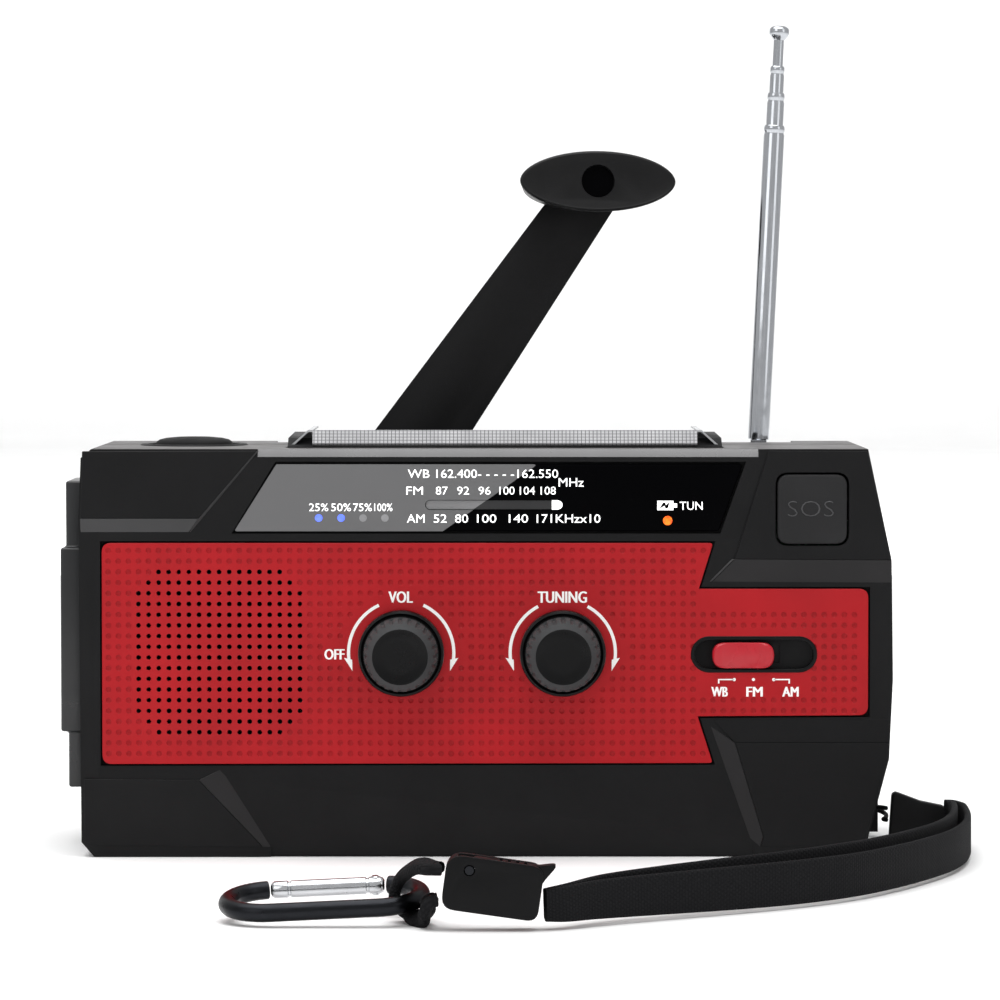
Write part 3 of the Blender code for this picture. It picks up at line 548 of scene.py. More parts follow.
def round_band(route, radius, sides=10):
    """A round cord along the route, mapped like a band."""
    step = 2 * math.pi / sides
    rings, across = [], Z
    for point, run, ahead in stations(route):
        across = (across - ahead * across.dot(ahead)).normalized()
        third = ahead.cross(across)
        ring = [point + (across * math.cos(k * step) + third * math.sin(k * step)) * radius for k in range(sides)]
        rings.append((ring, run))
    return mapped(rings, [k * step * radius for k in range(sides + 1)])


def make_lock():
    """A clamp lock: an open-topped body, a lever on a cross pin, and the pin itself."""
    frame_of = at(1.8, -131.0, 7.4) @ Matrix.Rotation(math.radians(8), 4, "Y")
    pivot = (-4.3, -4, 2.4)
    hole, bore = (moved(rod(0.95, 0, 8, pivot, Y, 24), frame_of) for _ in range(2))
    slot = moved(prism(rectangle(-6.5, -0.9, 9.5, 6), -1.7, 1.7), frame_of)
    outline = rounded(rectangle(-8.3, -4.7, 8.3, 4.7), [2.4, 2.0, 2.4, 3.0], 6)
    body = stand_in("lock_body", moved(prism(outline, -2.8, 2.8), frame_of), LOCK, slot="case_black", bevel=0.35,
                    segments=3, cutters=[slot, hole])
    corners = [(-5.9, 0.4), (7.6, 0.4), (8.8, 2.6), (10.6, 5.4), (7.4, 4.6), (-3.5, 4.6), (-5.9, 3.2)]
    outline = rounded(corners, [1.0, 0.6, 0.8, 0.5, 1.5, 1.2, 1.0], 4)
    ribs = [moved(prism(rectangle(x, 4.25, x + 0.5, 5.2), -2, 2), frame_of) for x in (0.6, 2.0, 3.4, 4.8)]
    lever = stand_in("lock_lever", moved(prism(outline, -1.35, 1.35), frame_of), LOCK, body="lock_lever",
                     slot="case_black", bevel=0.25, cutters=[bore, *ribs])
    profile = [(0, 0), (0.75, 0), (0.88, 0.2), (0.88, 5.4), (0.75, 5.6), (0, 5.6)]
    pin = turned(profile, (pivot[0], -2.8, pivot[2]), Y, 24)
    return [body, lever, stand_in("lock_pin", moved(pin, frame_of), PIN, slot="steel")]


def make_carabiner():
    """A snap ring bent from black bar, with a silver gate that turns on a riveted end."""
    tilt = Matrix.Rotation(math.radians(-2.7), 4, "Y") @ Matrix.Rotation(math.radians(8), 4, "X")
    frame_of = at(-10.5, -127.5, 3.6) @ tilt
    length, width, bar = 33.4, 15.0, 1.6
    radius = width / 2
    points = [Vector((-26.6, width, 0))]

    def bend(centre, angles):
        """Points round the end of the ring whose centre is this far from the ring's corner."""
        turns = [math.radians(angle) for angle in angles]
        return [Vector((-centre - radius * math.cos(t), radius + radius * math.sin(t), 0)) for t in turns]

    points += bend(length - radius, [90 - 7.5 * i for i in range(1, 25)])
    points += [Vector((-x, 0, 0)) for x in (20.0, 14.0)]
    points += bend(radius, [-90 - 7.25 * i for i in range(24)])
    ring = stand_in("carabiner", moved(round_band(points, bar, 20), frame_of), BAR_BLACK, slot="anodised_bar",
                    bevel=0.3, segments=3, smooth=60)
    start, span = -6.4, 26.2 - 6.4
    profile = [(0, 0), (0.9, 0), (1.3, 0.3), (1.5, 0.8), (1.5, 2.6), (1.3, 2.8), (1.3, 3.1), (1.5, 3.3),
               (1.5, span - 3.6), (1.3, span - 3.4), (1.3, span - 3.1), (1.5, span - 2.9), (1.5, span - 0.7),
               (1.2, span - 0.2), (0.8, span), (0, span)]
    sleeve = turned(profile, (start, width - 0.1, 0), -X, 32)
    profile = [(0, 0), (0.55, 0), (0.75, 0.2), (0.75, 3.2), (0.55, 3.4), (0, 3.4)]
    rivet = turned(profile, (-8.0, width - 0.1, -1.7), Z, 20)
    gate = stand_in("carabiner_gate", moved(joined(sleeve, rivet), frame_of), GATE_SILVER, body="gate",
                    slot="gate_silver", smooth=40)
    return [ring, gate]


def make_strap():
    """A thin cord through the case's lug, a sewn tab, two webbing runs on edge, and the loop at the lock."""
    def strap(node, bm, look=WEBBING, smooth=60, **rest):
        return stand_in(node, bm, look, slot="webbing", smooth=smooth, **rest)

    path = smooth_route(CORD_ROUTE, 5)
    cord = strap("strap_cord", round_band(path, 0.45), CORD_BLACK)
    outline = rounded([(79.8, 0.4), (90.9, 0.4), (90.9, 7.2), (86.0, 8.2), (80.4, 10.3)], 1.0, 4)
    tab = strap("strap_tab", prism(outline, -3.5, -0.6), TAB, bevel=0.5, segments=3, smooth=35)
    lock, ring = make_lock(), make_carabiner()
    for name, route, pieces in (("strap_outer_run", OUTER_ROUTE, lock), ("strap_inner_run", INNER_ROUTE, ())):
        path = smooth_route(route, 6)
        run = strap(name, band(path, 7.9, 1.3, Z, 0.3))
    path = smooth_route(LOOP_ROUTE, 6)
    loop = strap("strap_loop", band(path, 5.4, 2.0, Y))


make_strap()


# ---------------------------------------------------------------- case shells

def text_mesh(words, place, cap, width=None, bold=0.0, left=False, depth=0.05):
    """Upright lettering that faces the front: place is its middle, or its left end, in x, y and z."""
    curve = bpy.data.curves.new("words", "FONT")
    curve.body, curve.size, curve.extrude, curve.resolution_u = words, 1.0, 0.0, 3
    curve.offset = bold
    held = linked("words", curve)
    bpy.context.view_layer.update()
    mesh = bpy.data.meshes.new_from_object(held.evaluated_get(bpy.context.evaluated_depsgraph_get()))
    bm = bmesh.new()
    bm.from_mesh(mesh)
    bpy.data.objects.remove(held)
    bpy.data.curves.remove(curve)
    bpy.data.meshes.remove(mesh)
    low = min(v.co.x for v in bm.verts)
    high = max(v.co.x for v in bm.verts)
    tall = cap / 0.73
    wide = width / (high - low) if width else tall
    start = low if left else (low + high) / 2
    for v in bm.verts:
        v.co = Vector((place[0] + (v.co.x - start) * wide, place[1], place[2] + v.co.y * tall - cap / 2)) * MM
    sides = bmesh.ops.extrude_face_region(bm, geom=list(bm.faces))
    for v in (g for g in sides["geom"] if isinstance(g, bmesh.types.BMVert)):
        v.co.y -= depth * MM
    bmesh.ops.recalc_face_normals(bm, faces=bm.faces)
    return bm


def facet(loop, depths, back=-26.2):
    """A raised patch of the front: a loop of (x, z) points that stand depths proud of the face."""
    face = [(x, FRONT - d, z) for (x, z), d in zip(loop, depths)]
    return lofted([(x, back, z) for x, z in loop], face)


def make_shells():
    """Both shells, with the thin ledge and skirt of the front one, and the raised patches round the red panel."""
    ledge = prism([(FRONT - 1, 75.9), (FRONT - 1, 80), (FRONT + 3.1, 80)], -43.4, 52.6, "X")
    foot = [(FRONT - 1, -1), (FRONT + 0.9, -1), (FRONT + 0.9, 0.2), (FRONT - 0.02, 2.7), (FRONT - 1, 2.7)]

    # Upward top faces get a lighter grey as painted light from above, and upward slopes at the top a painted
    # highlight.
    def material_of(face, centre):
        if face.normal.z > 0.85 and centre.z > 76.5:
            return 1
        slopes = face.normal.z > 0.5 and face.normal.y < -0.5 and face.area > 4 * MM * MM
        return 2 if slopes and centre.z > 76.5 else 0

    for node, cutters in (("front_shell", [ledge, prism(foot, -41.0, 51.8, "X")]), ("rear_shell", [])):
        shell = stand_in(node, node_copy(node), BLACK, slot="case_black", bevel=0.3, cutters=cutters)
        two_tone(shell, (TOP_PAINTED_LIGHT, EDGE_GLOSS_AND_HIGHLIGHT), material_of)
    hole = prism(shrunk(rounded(rectangle(56.1, 60.1, 69.7, 73.7), 2.2, 6), -0.2), -30, -20)
    # The sloped bands, edges and mitres take the lighter copies of black as painted highlight.
    patches = (
        ("block_left", BLACK, [0.4] * 4, [(-77.0, 78.0), (-77.4, 65.1), (-54.7, 65.1), (-43.5, 78.1)]),
        ("band_left", LIP_HIGHLIGHT, [0.4, 0.02, 0.02, 0.4], [(-77.4, 65.1), (-77.4, 62.4), (-56.6, 62.4), (-54.7, 65.1)]),
        ("edge_left", LIP_HIGHLIGHT, [0.42, 0.02, 0.02, 0.02, 0.42],
         [(-54.7, 65.1), (-56.6, 62.4), (-56.2, 62.4), (-43.1, 78.1), (-43.5, 78.1)]),
        ("block_right", BLACK, [0.4] * 4, [(54.5, 78.1), (48.0, 57.3), (78.1, 57.1), (73.5, 78.0)]),
        ("band_right", FACET_HIGHLIGHT, [0.4, 0.02, 0.02, 0.4], [(48.0, 57.3), (43.6, 52.9), (78.1, 52.7), (78.1, 57.1)]),
        ("mitre_right", LIP_HIGHLIGHT, [0.45, 0.42, 0.04, 0.06], [(48.0, 57.3), (47.5, 57.3), (43.1, 52.9), (43.6, 52.9)]),
        ("block_low_right", BLACK, [0.35] * 6,
         [(48.2, 22.0), (53.7, 3.9), (53.2, 2.0), (73.0, 2.0), (77.6, 18.8), (77.9, 22.0)]),
        ("band_low_right", BLACK, [0.05, 0.35, 0.35, 0.05], [(43.6, 26.6), (48.2, 22.0), (77.9, 22.0), (78.1, 26.6)]),
        ("slope_low_right", FACET_HIGHLIGHT, [0.03, 0.03, 0.1, 0.35, 0.35],
         [(43.4, 25.3), (51.1, 3.5), (53.1, 1.9), (53.7, 3.9), (48.2, 22.0)]),
        ("block_low_left", BLACK, [0.3] * 5, [(-76.9, 15.0), (-76.8, 2.9), (-74.8, 2.2), (-42.5, 1.9), (-54.8, 14.8)]),
        ("slope_low_left", FACET_HIGHLIGHT, [0.3, 0.05, 0.04, 0.04, 0.3],
         [(-54.8, 14.8), (-50.8, 16.8), (-49.65, 15.7), (-40.9, 1.9), (-42.5, 1.9)]),
    )
    for name, look, depths, loop in patches:
        piece(f"case_{name}", facet(loop, depths), look, slot="case_black", smooth=30, bevel=0.12, segments=1,
              cutters=[hole] if name == "block_right" else ())


# Painted light: a lighter grey for the shells' top faces, and a painted highlight over a real glossy coat on their
# upward top slopes.
TOP_PAINTED_LIGHT = moulded("top_painted_light", (84, 82, 82), 0.5, 0.3, 0.02)
EDGE_GLOSS_AND_HIGHLIGHT = moulded("edge_gloss_and_painted_highlight", (68, 67, 69), 0.3, 0.4, 0.01, Coat_Weight=0.3, Coat_Roughness=0.15)
make_shells()


# ---------------------------------------------------------------- front panel: dimples, speaker holes and lettering

VOLUME, TUNING, KNOB_Z = -15.9, 15.1, 39.3
SLOT, SLOT_SIZE = (51.8, 39.0), (24.3, 7.0)
PANEL = [
    (-73.3, 17.9), (43.9, 18.1), (41.0, 27.1), (73.7, 27.3), (73.7, 51.6), (41.2, 51.6), (43.9, 60.4), (-73.3, 60.4),
]
DIMPLE_PITCH, DIMPLE_FIRST = (1.934, 2.055), (-72.07, 58.97)


def inside(point, outline, margin):
    """Whether a point is in the outline, at least margin from its edge."""
    x, z = point
    within = False
    for (x1, z1), (x2, z2) in zip(outline, outline[1:] + outline[:1]):
        if (z1 > z) != (z2 > z) and x < x1 + (z - z1) / (z2 - z1) * (x2 - x1):
            within = not within
        span = Vector((x2 - x1, z2 - z1))
        t = max(0, min(1, Vector((x - x1, z - z1)).dot(span) / span.length_squared))
        if math.dist((x, z), (x1 + span.x * t, z1 + span.y * t)) < margin:
            return False
    return within


def is_plain(x, z):
    """Whether this spot is left smooth, for a control or its lettering."""
    for knob in (VOLUME, TUNING):
        away, turn = math.dist((x, z), (knob, KNOB_Z)), math.degrees(math.atan2(z - KNOB_Z, x - knob))
        if away < 9.1 or (away < 11.7 and (turn > -22 or turn < -158)):
            return True
        if abs(x - knob) < (5.7 if knob == TUNING else 3.0) and 48.3 < z < 51.9:
            return True
    off_word = -31.4 < x < -26 and 37.6 < z < 40.6
    band_switch = 40.5 < x < 62.6 and 30.6 < z < 43.4
    return off_word or band_switch or (x > 41 and 47.5 < z < 52)


def dots():
    """Where the dimples and the speaker's holes are."""
    dimples, holes = [], []
    for row in range(21):
        for column in range(76):
            x = DIMPLE_FIRST[0] + column * DIMPLE_PITCH[0]
            z = DIMPLE_FIRST[1] - row * DIMPLE_PITCH[1]
            across, down = column - 3, row - 2
            if 0 <= across <= 16 and 0 <= down <= 15 and min(across, 16 - across) + min(down, 15 - down) >= 2:
                holes.append((x, z))
            elif inside((x, z), PANEL, 0.85) and not is_plain(x, z):
                dimples.append((x, z))
    return dimples, holes


def make_panel():
    dimples, holes = dots()
    outline = rounded(PANEL, [1.8, 0.5, 0, 1.8, 1.8, 0, 0.5, 1.8], 6)
    plate = prism(outline, PANEL_FRONT, -25.15, inset=0.1)
    cup = [(0, -0.16), (0.3, -0.15), (0.48, -0.09), (0.58, 0.01), (0.6, 0.4), (0, 0.4)]
    bore = [(0, -3), (0.38, -3), (0.38, -0.12), (0.5, 0.02), (0.5, 0.4), (0, 0.4)]
    cups, bores = (joined(*[turned(profile, (x, PANEL_FRONT, z), -Y, 10) for x, z in spots])
                   for profile, spots in ((cup, dimples), (bore, holes)))
    wells = [rod(6.2, -3, 2, (x, PANEL_FRONT, KNOB_Z), -Y, 64) for x in (VOLUME, TUNING)]
    slot = prism(stadium(SLOT, SLOT_SIZE, 14), -30, -20)
    panel = stand_in("front_panel", plate, RED, slot="panel_red", smooth=30, cutters=[cups, bores, *wells, slot])

    def material_of(face, centre):
        x, y, z = centre
        # The speaker holes' walls are painted near-black, as painted shade inside the holes.
        if y > PANEL_FRONT + 0.05 and any(math.dist((x, z), hole) < 0.42 for hole in holes):
            return 2
        # The dimples' insides take the darker red as painted shade.
        dimple = PANEL_FRONT + 0.03 < y < -25.3 and abs(face.normal.y) > 0.02 and inside((x, z), PANEL, 0.4)
        return 1 if dimple else 0

    two_tone(panel, (DIMPLE_SHADE_RED, SATIN), material_of)


def arc_arrow(centre, radius, start, end, stroke, head):
    """A printed arc from start to end, in degrees, with an arrowhead at its end, just proud of the panel."""
    turns = [math.radians(start + (end - start) * i / 32) for i in range(33)]
    inner, outer = ([polar(radius + side * stroke / 2, turn, centre) for turn in turns] for side in (-1, 1))
    arc = prism(inner + outer[::-1], PANEL_FRONT - 0.04, PANEL_FRONT + 0.02)
    side, last = math.copysign(1, end - start), turns[-1]
    points = [(radius - stroke, last - side * 0.02), (radius + stroke * 1.5, last - side * 0.07),
              (radius - stroke * 0.2, last + side * head / radius)]
    barb = prism([polar(r, turn, centre) for r, turn in points], PANEL_FRONT - 0.055, PANEL_FRONT + 0.015)
    return joined(arc, barb)


def heavy(words, place, cap, width):
    """Lettering made bolder by printing it twice, a little apart."""
    return [text_mesh(words, (place[0] + shift, place[1] - abs(shift) / 40, place[2]), cap, width, depth=0.03)
            for shift in (-0.09, 0.1)]


def make_lettering():
    """White printing on the panel: level arrows round both knobs and the control names."""
    y = PANEL_FRONT - 0.01
    marks = []
    for knob, words, width, spread in ((VOLUME, "VOL", 4.5, 115), (TUNING, "TUNING", 9.3, 118)):
        for start, end in ((spread, 189), (180 - spread, -9)):
            marks.append(arc_arrow((knob, KNOB_Z), 10.1, start, end, 0.6, 2.0))
        marks += heavy(words, (knob - 0.1, y, 50.1), 2.3, width)
    marks += heavy("OFF", (-28.7, y, 39.1), 2.1, 3.7)
    for words, x in (("WB", 45.2), ("FM", 51.9), ("AM", 58.8)):
        marks += heavy(words, (x, y, 31.9), 2.0, 3.0)
    lines = []
    for side, x in ((1, 44.9), (-1, 58.7)):
        end, stroke = x + side * 3.0, x + side * 0.28
        lines.append([(x, 33.4), (x, 34.3), (end, 34.3), (end, 34.05), (stroke, 34.05), (stroke, 33.4)])
        lines.append([polar(0.32, math.pi * i / 8, (x + side * 3.1, 34.17)) for i in range(16)])
    lines.append([polar(0.3, math.pi * i / 8, (51.7, 34.17)) for i in range(16)])
    marks += [prism(line, y - 0.03, y + 0.02) for line in lines]
    piece("panel_lettering", joined(*marks), PRINT, slot="panel_red", smooth=0)


def make_window():
    """Glossy dial window with its scales, level lamps, travel slot, battery sign and tuning lamp."""
    y, groove = FRONT, (1.9, 67.7)

    def show(name, shape, look, cutters=()):
        piece(name, shape, look, slot="gloss_black", smooth=0, cutters=cutters)

    outline = rounded([(-47.9, 62.5), (45.1, 62.5), (49.8, 75.7), (-39.8, 75.7)], [0.5, 1.0, 0.8, 0.8], 5)
    slots = [prism(stadium(groove, (26.4, 1.9), 10), -30, y + 0.35) for _ in range(2)]
    stand_in("display_window", prism(shrunk(outline, 0.12), y, -24.9, inset=0.2), GLOSS, slot="gloss_black",
             smooth=30, cutters=slots[:1])
    # A grey parallelogram over the window's left part: a painted reflection of glare, not a film.
    sheen = rounded([(-47.9, 62.65), (-7.9, 62.65), (10.3, 75.5), (-39.8, 75.5)], 0.3, 3)
    show("display_glare", prism(sheen, y - 0.03, y + 0.05), GLARE_GREY, slots[1:])
    # The travel slot is split along the glare's edge: the pale half is painted reflection where the glare crosses it,
    # the dark half the slot's own tone.
    for name, look, away in (("pale", SLOT_UNDER_GLARE, 20), ("dark", SLOT_DARK, -20)):
        split = prism([(-2.1, 66.8), (0.5, 68.6), (away, 70), (away, 65)], y - 1, y + 1)
        show(f"travel_slot_{name}", prism(stadium(groove, (26.2, 1.7), 10), y + 0.3, y + 0.4), look, [split])

    marks = [text_mesh("WB 162.400- - - - -162.550", (-14.6, y - 0.02, 73.75), 1.7, 28.8, 0.0, True)]
    scales = (
        (70.5, 1.65, (("FM", -13.3, 3.2),)), (72.1, 1.75, (("MHz", 16.7, 4.8),)),
        (65.15, 1.7, (("AM", -13.1, 3.4), ("171KHzx10", 16.2, 12.2))), (67.6, 1.65, (("TUN", 39.7, 4.4),)),
        (70.5, 1.6, (("87", -8.1, 2.3), ("92", -4.0, 2.3), ("96", 0.1, 2.3), ("100", 4.4, 2.9), ("104", 8.3, 2.9),
                     ("108", 12.3, 2.9))),
        (65.15, 1.7, (("52", -8.4, 2.5), ("80", -4.3, 2.5), ("100", 0.5, 3.7), ("140", 6.6, 3.7))),
        (67.3, 1.55, (("25%", -31.7, 3.7), ("50%", -27.4, 3.8), ("75%", -23.3, 3.6), ("100%", -19.3, 3.5))),
    )
    for z, cap, entries in scales:
        marks += [text_mesh(words, (x, y - 0.02, z), cap, width) for words, x, width in entries]
    cell = [(33.2, 66.7), (36.3, 66.7), (36.3, 67.2), (37.0, 67.2), (37.0, 68.0), (36.3, 68.0), (36.3, 68.5),
            (33.2, 68.5)]
    bolt = [(33.6, 66.95), (34.3, 68.15), (34.75, 68.15), (34.85, 67.65), (35.6, 68.3), (35.2, 67.05),
            (34.75, 67.05), (34.6, 67.55)]
    # The printed markings glow as painted light.
    show("display_markings", joined(*marks, prism(cell, y - 0.05, y + 0.02)), PAINTED_GLOW_WHITE)
    show("battery_bolt", prism(bolt, y - 0.08, y - 0.04), GLOSS)
    for i, x in enumerate((-31.7, -27.4, -23.2, -19.0)):
        lamp = turned([(0.74, -0.03), (0.72, 0.04), (0.5, 0.1), (0.25, 0.13), (0, 0.14)], (x, y - 0.02, 65.2), -Y, 24)
        piece(f"level_lamp_{i + 1}", lamp, LIT_BLUE if i < 2 else LAMP_GREY, slot="clear_plastic")
    lamp = turned([(0.9, -0.03), (0.86, 0.06), (0.6, 0.14), (0.3, 0.19), (0, 0.2)], (35.2, y - 0.02, 64.7), -Y, 32)
    piece("tuning_lamp", lamp, LIT_AMBER, slot="clear_plastic")
    pointer = [(13.0, 66.8), (14.15, 66.8), (14.7, 67.0), (15.02, 67.4), (15.02, 68.0), (14.7, 68.4), (14.15, 68.6),
               (13.0, 68.6)]
    # The nylon pointer tip glows as painted light.
    piece("dial_pointer_tip", prism(pointer, y + 0.08, y + 0.25), PAINTED_GLOW_WHITE, body="pointer", slot="white_nylon",
          smooth=0)


def lit(name, colour, strength, edge=None):
    """A lamp, or a marking or part made to glow as painted light, its light uneven by a little noise."""
    made = Finish(name, 0.4)
    tint = made.blend(made.between(made.noise(0.8), 0, 1), edge or colour, colour)
    made.link(tint, "Base Color")
    made.link(tint, "Emission Color")
    made.shader.inputs["Emission Strength"].default_value = strength
    return made.material


PRINT = moulded("print_white", (248, 246, 244), 0.5, 0.2, 0.004, tone=0.02)
# Grey for the painted glare reflection on the window.
GLARE_GREY = moulded("painted_glare", (97, 97, 98), 0.34, 1.0, 0.0005, tone=0.015, spread=0.03)
# The pale slot tone is painted reflection from the glare.
SLOT_UNDER_GLARE = moulded("slot_painted_glare", (128, 128, 129), 0.4, 1.0, 0.001, shine=0.2)
SLOT_DARK = moulded("slot_dark", (50, 50, 51), 0.4, 1.0, 0.001, shine=0.2)
# White glow for print and the pointer tip: painted light, not a lamp.
PAINTED_GLOW_WHITE = lit("white_painted_glow", srgb(255, 255, 255), 0.9)
LIT_BLUE = lit("lit_blue", srgb(98, 122, 250), 0.85, srgb(80, 104, 240))
LIT_AMBER = lit("lit_amber", srgb(255, 132, 10), 0.8, srgb(255, 60, 0))
LAMP_GREY = moulded("lamp_grey", (142, 142, 144), 0.3, 0.5, 0.003)
make_panel()
make_lettering()
make_window()


# ---------------------------------------------------------------- controls

def knurl(radius, height, turn):
    """Twenty-four teeth round the middle of a knob, fading out towards its face."""
    if not 3.4 < height < 8.9 or radius < 5.9:
        return 1.0
    return 1.0 - 0.055 * max(0.0, math.cos(24 * turn)) ** 0.6


def make_knobs():
    profile = [(0, -1.0), (8.0, -1.0), (8.25, -0.8), (8.25, 1.6), (8.1, 1.9), (7.75, 2.1), (7.5, 1.9), (7.3, 1.6),
               (7.15, 1.6), (7.1, 3.4), (7.05, 3.5), (6.95, 6.0), (6.85, 7.6), (6.6, 8.6), (6.25, 9.2), (5.95, 9.6),
               (5.75, 9.9), (5.5, 10.4), (5.3, 10.6), (5.0, 10.45), (3.0, 10.4), (0, 10.4)]
    for name, x in (("volume", VOLUME), ("tuning", TUNING)):
        knob = stand_in(f"{name}_knob", turned(profile, (x, -27.5, KNOB_Z), -Y, 192, knurl), SATIN, body=name,
                        slot="gloss_black", smooth=32)

        # The knurled band takes a lighter grey as painted highlight on the teeth.
        def material_of(face, centre, x=x):
            away = math.dist((centre.x, centre.z), (x, KNOB_Z))
            return 1 if centre.y < -30.8 and 5.35 < away < 7.3 else 0

        two_tone(knob, (KNURL_HIGHLIGHT,), material_of)


def make_switch():
    """The band switch's slot liner and its slider, which has a thumb hollow in its middle."""
    liner = prism(stadium(SLOT, SLOT_SIZE, 14), PANEL_FRONT - 0.12, -23.8)
    well = prism(stadium(SLOT, (SLOT_SIZE[0] - 1.5, SLOT_SIZE[1] - 1.5), 14), -30, -24.2)
    piece("switch_liner", liner, SATIN, slot="case_black", bevel=0.28, segments=3, cutters=[well])
    slider = prism(rounded(rectangle(43.8, 36.4, 55.6, 41.3), 2.4, 8), -28.3, -25.0, inset=0.4)
    hollow = rod(11.0, 0, 12, (49.7, -38.5, 33.0), Z, 96)
    stand_in("band_slider", slider, SLIDER_RED, body="band_slider", slot="slider_red", bevel=0.35, segments=3,
             smooth=50, cutters=[hollow])


def make_buttons():
    side, (x, z) = 13.6, (62.9, 66.9)
    half = side / 2 - 0.12
    cap = rounded(rectangle(x - half, z - half, x + half, z + half), 2.3, 8)
    stand_in("sos_button", prism(cap, FRONT - 0.6, -24.6, inset=0.3), BUTTON, body="sos_button", slot="rubber",
             bevel=0.2)
    word = text_mesh("SOS", (x - 0.3, FRONT - 0.58, z + 0.2), 3.3, 8.8, -0.02, depth=0.1)
    piece("sos_word", word, BUTTON_MARK, body="sos_button", slot="rubber", smooth=0)
    dome = [(0, 72.6), (7.3, 72.6), (7.6, 73), (7.6, 78.5), (7.4, 79.1), (6.8, 79.5), (5.5, 79.8), (3.3, 80.0),
            (0, 80.05)]
    stand_in("lamp_button", turned(dome, (-57.2, 0, 0), Z, 72), RUBBER, body="lamp_button", slot="rubber", smooth=40)
    ring = [(9.0, 78.2), (10.6, 78.2), (10.6, 78.45), (10.3, 78.7), (9.2, 78.7), (9.0, 78.5), (9.0, 78.2)]
    piece("lamp_button_ring", turned(ring, (-57.2, 0, 0), Z, 72), BLACK, slot="case_black", smooth=40)


# ---------------------------------------------------------------- lid with its solar cell

def make_lid():
    """A hinged lid: bevelled frame, silver end rims, ruled cell and a clear cover over it."""
    stand_in("lid_frame", node_copy("lid_frame"), BLACK, body="lid", slot="case_black", bevel=0.25)
    for name, side, out in (("left", -1, -37.4), ("right", 1, 45.4)):
        top = out - side * 3.3
        rim = [(out, 78.9), (top, 81.8), (top - side * 0.9, 81.8), (top - side * 0.9, 81.5), (top, 81.4),
               (out - side * 0.4, 78.7)]
        piece(f"lid_rim_{name}", prism(rim, -17.2, 12.4), RIM, body="lid", slot="gate_silver", smooth=0)
    slope = [(-18.2, 79.2), (-17.2, 81.8), (-16.8, 81.8), (-17.8, 78.9)]
    piece("lid_front_glass", prism(slope, -33.2, 41.2, "X"), GLAZE, body="lid", slot="solar", smooth=0)
    stand_in("solar_cell", node_copy("solar_cell"), SOLAR, body="lid", slot="solar", smooth=0)
    low, high = (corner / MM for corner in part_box("solar_cell"))
    base = high.z - 0.02
    wires = [prism(rectangle(low.x, base, high.x, high.z + 0.06), y - 0.35, y + 0.35)
             for y in (low.y + 6, (low.y + high.y) / 2, high.y - 6)]
    for x in (low.x + 1.2 + 1.8 * i for i in range(40)):
        if x < high.x - 0.8:
            wires.append(prism(rectangle(x - 0.06, base, x + 0.06, high.z + 0.03), low.y + 0.4, high.y - 0.4))
    piece("solar_cell_wires", joined(*wires), SILVER_INK, body="lid", slot="solar", smooth=0)
    stand_in("solar_cover", node_copy("solar_cover"), COVER, body="lid", slot="clear_plastic", bevel=0.15)


# ---------------------------------------------------------------- crank

def make_crank():
    """Hub, leaning arm with a sunk back, and a grip that tapers towards the arm and turns on its end."""
    turn, lean = math.radians(34.8), math.radians(10)
    leaning = at(-28.5, 31.2, 57.0) @ Matrix.Rotation(turn, 4, "Y") @ Matrix.Rotation(-lean, 4, "X")
    stand_in("crank_hub", node_copy("crank_hub"), BLACK, body="crank_hub", slot="case_black", bevel=0.3, smooth=40)
    groove = rounded([(-6.0, 12), (6.0, 12), (4.4, 77), (-4.4, 77)], 1.5, 5)
    stand_in("crank_arm", node_copy("crank_arm"), BLACK, body="crank_arm", slot="case_black", bevel=0.35, segments=3,
             smooth=40, cutters=[moved(prism(groove, 2.2, 2.9), leaning)])
    grip_frame = leaning @ at(0, 0, 89.1) @ Matrix.Rotation(-turn, 4, "Y")
    back, deep = -2.8, 12.0
    face = back - deep
    loops = [[(a, back - depth, b) for a, b in ellipse_loop(16.0 - shrink, 6.3 - shrink)]
             for depth, shrink in ((0, 2.6), (0.35, 2.1), (1.0, 1.8), (deep - 1.6, 0.25), (deep - 0.8, 0.1),
                                   (deep - 0.4, 0.05), (deep - 0.1, 0.25), (deep, 0.55), (deep - 0.1, 0.8))]
    bore = rod(2.8, -12, 0, (0, 0, 0), Y, 40)
    recess = turned([(0, face - 1), (3.75, face - 1), (3.3, face + 0.45), (3.3, face + 2.0), (0, face + 2.0)],
                    (0, 0, 0), Y, 48)
    stand_in("crank_grip", moved(lofted(*loops), grip_frame), GRIP, body="crank_grip", slot="case_black", smooth=40,
             cutters=[moved(bore, grip_frame), moved(recess, grip_frame)])
    plug = rod(3.6, 0, 0.3, (0, face + 1.6, 0), -Y, 48)
    piece("grip_plug", moved(plug, grip_frame), GLOSS, body="crank_grip", slot="case_black", smooth=40)


def ellipse_loop(long, short, sides=72):
    """A pointed ellipse, a little fuller than a lens."""
    found = []
    for i in range(sides):
        turn = 2 * math.pi * i / sides
        rise = math.copysign(abs(math.sin(turn)) ** 1.08, math.sin(turn))
        found.append((long * math.cos(turn), short * rise))
    return found


# ---------------------------------------------------------------- mast

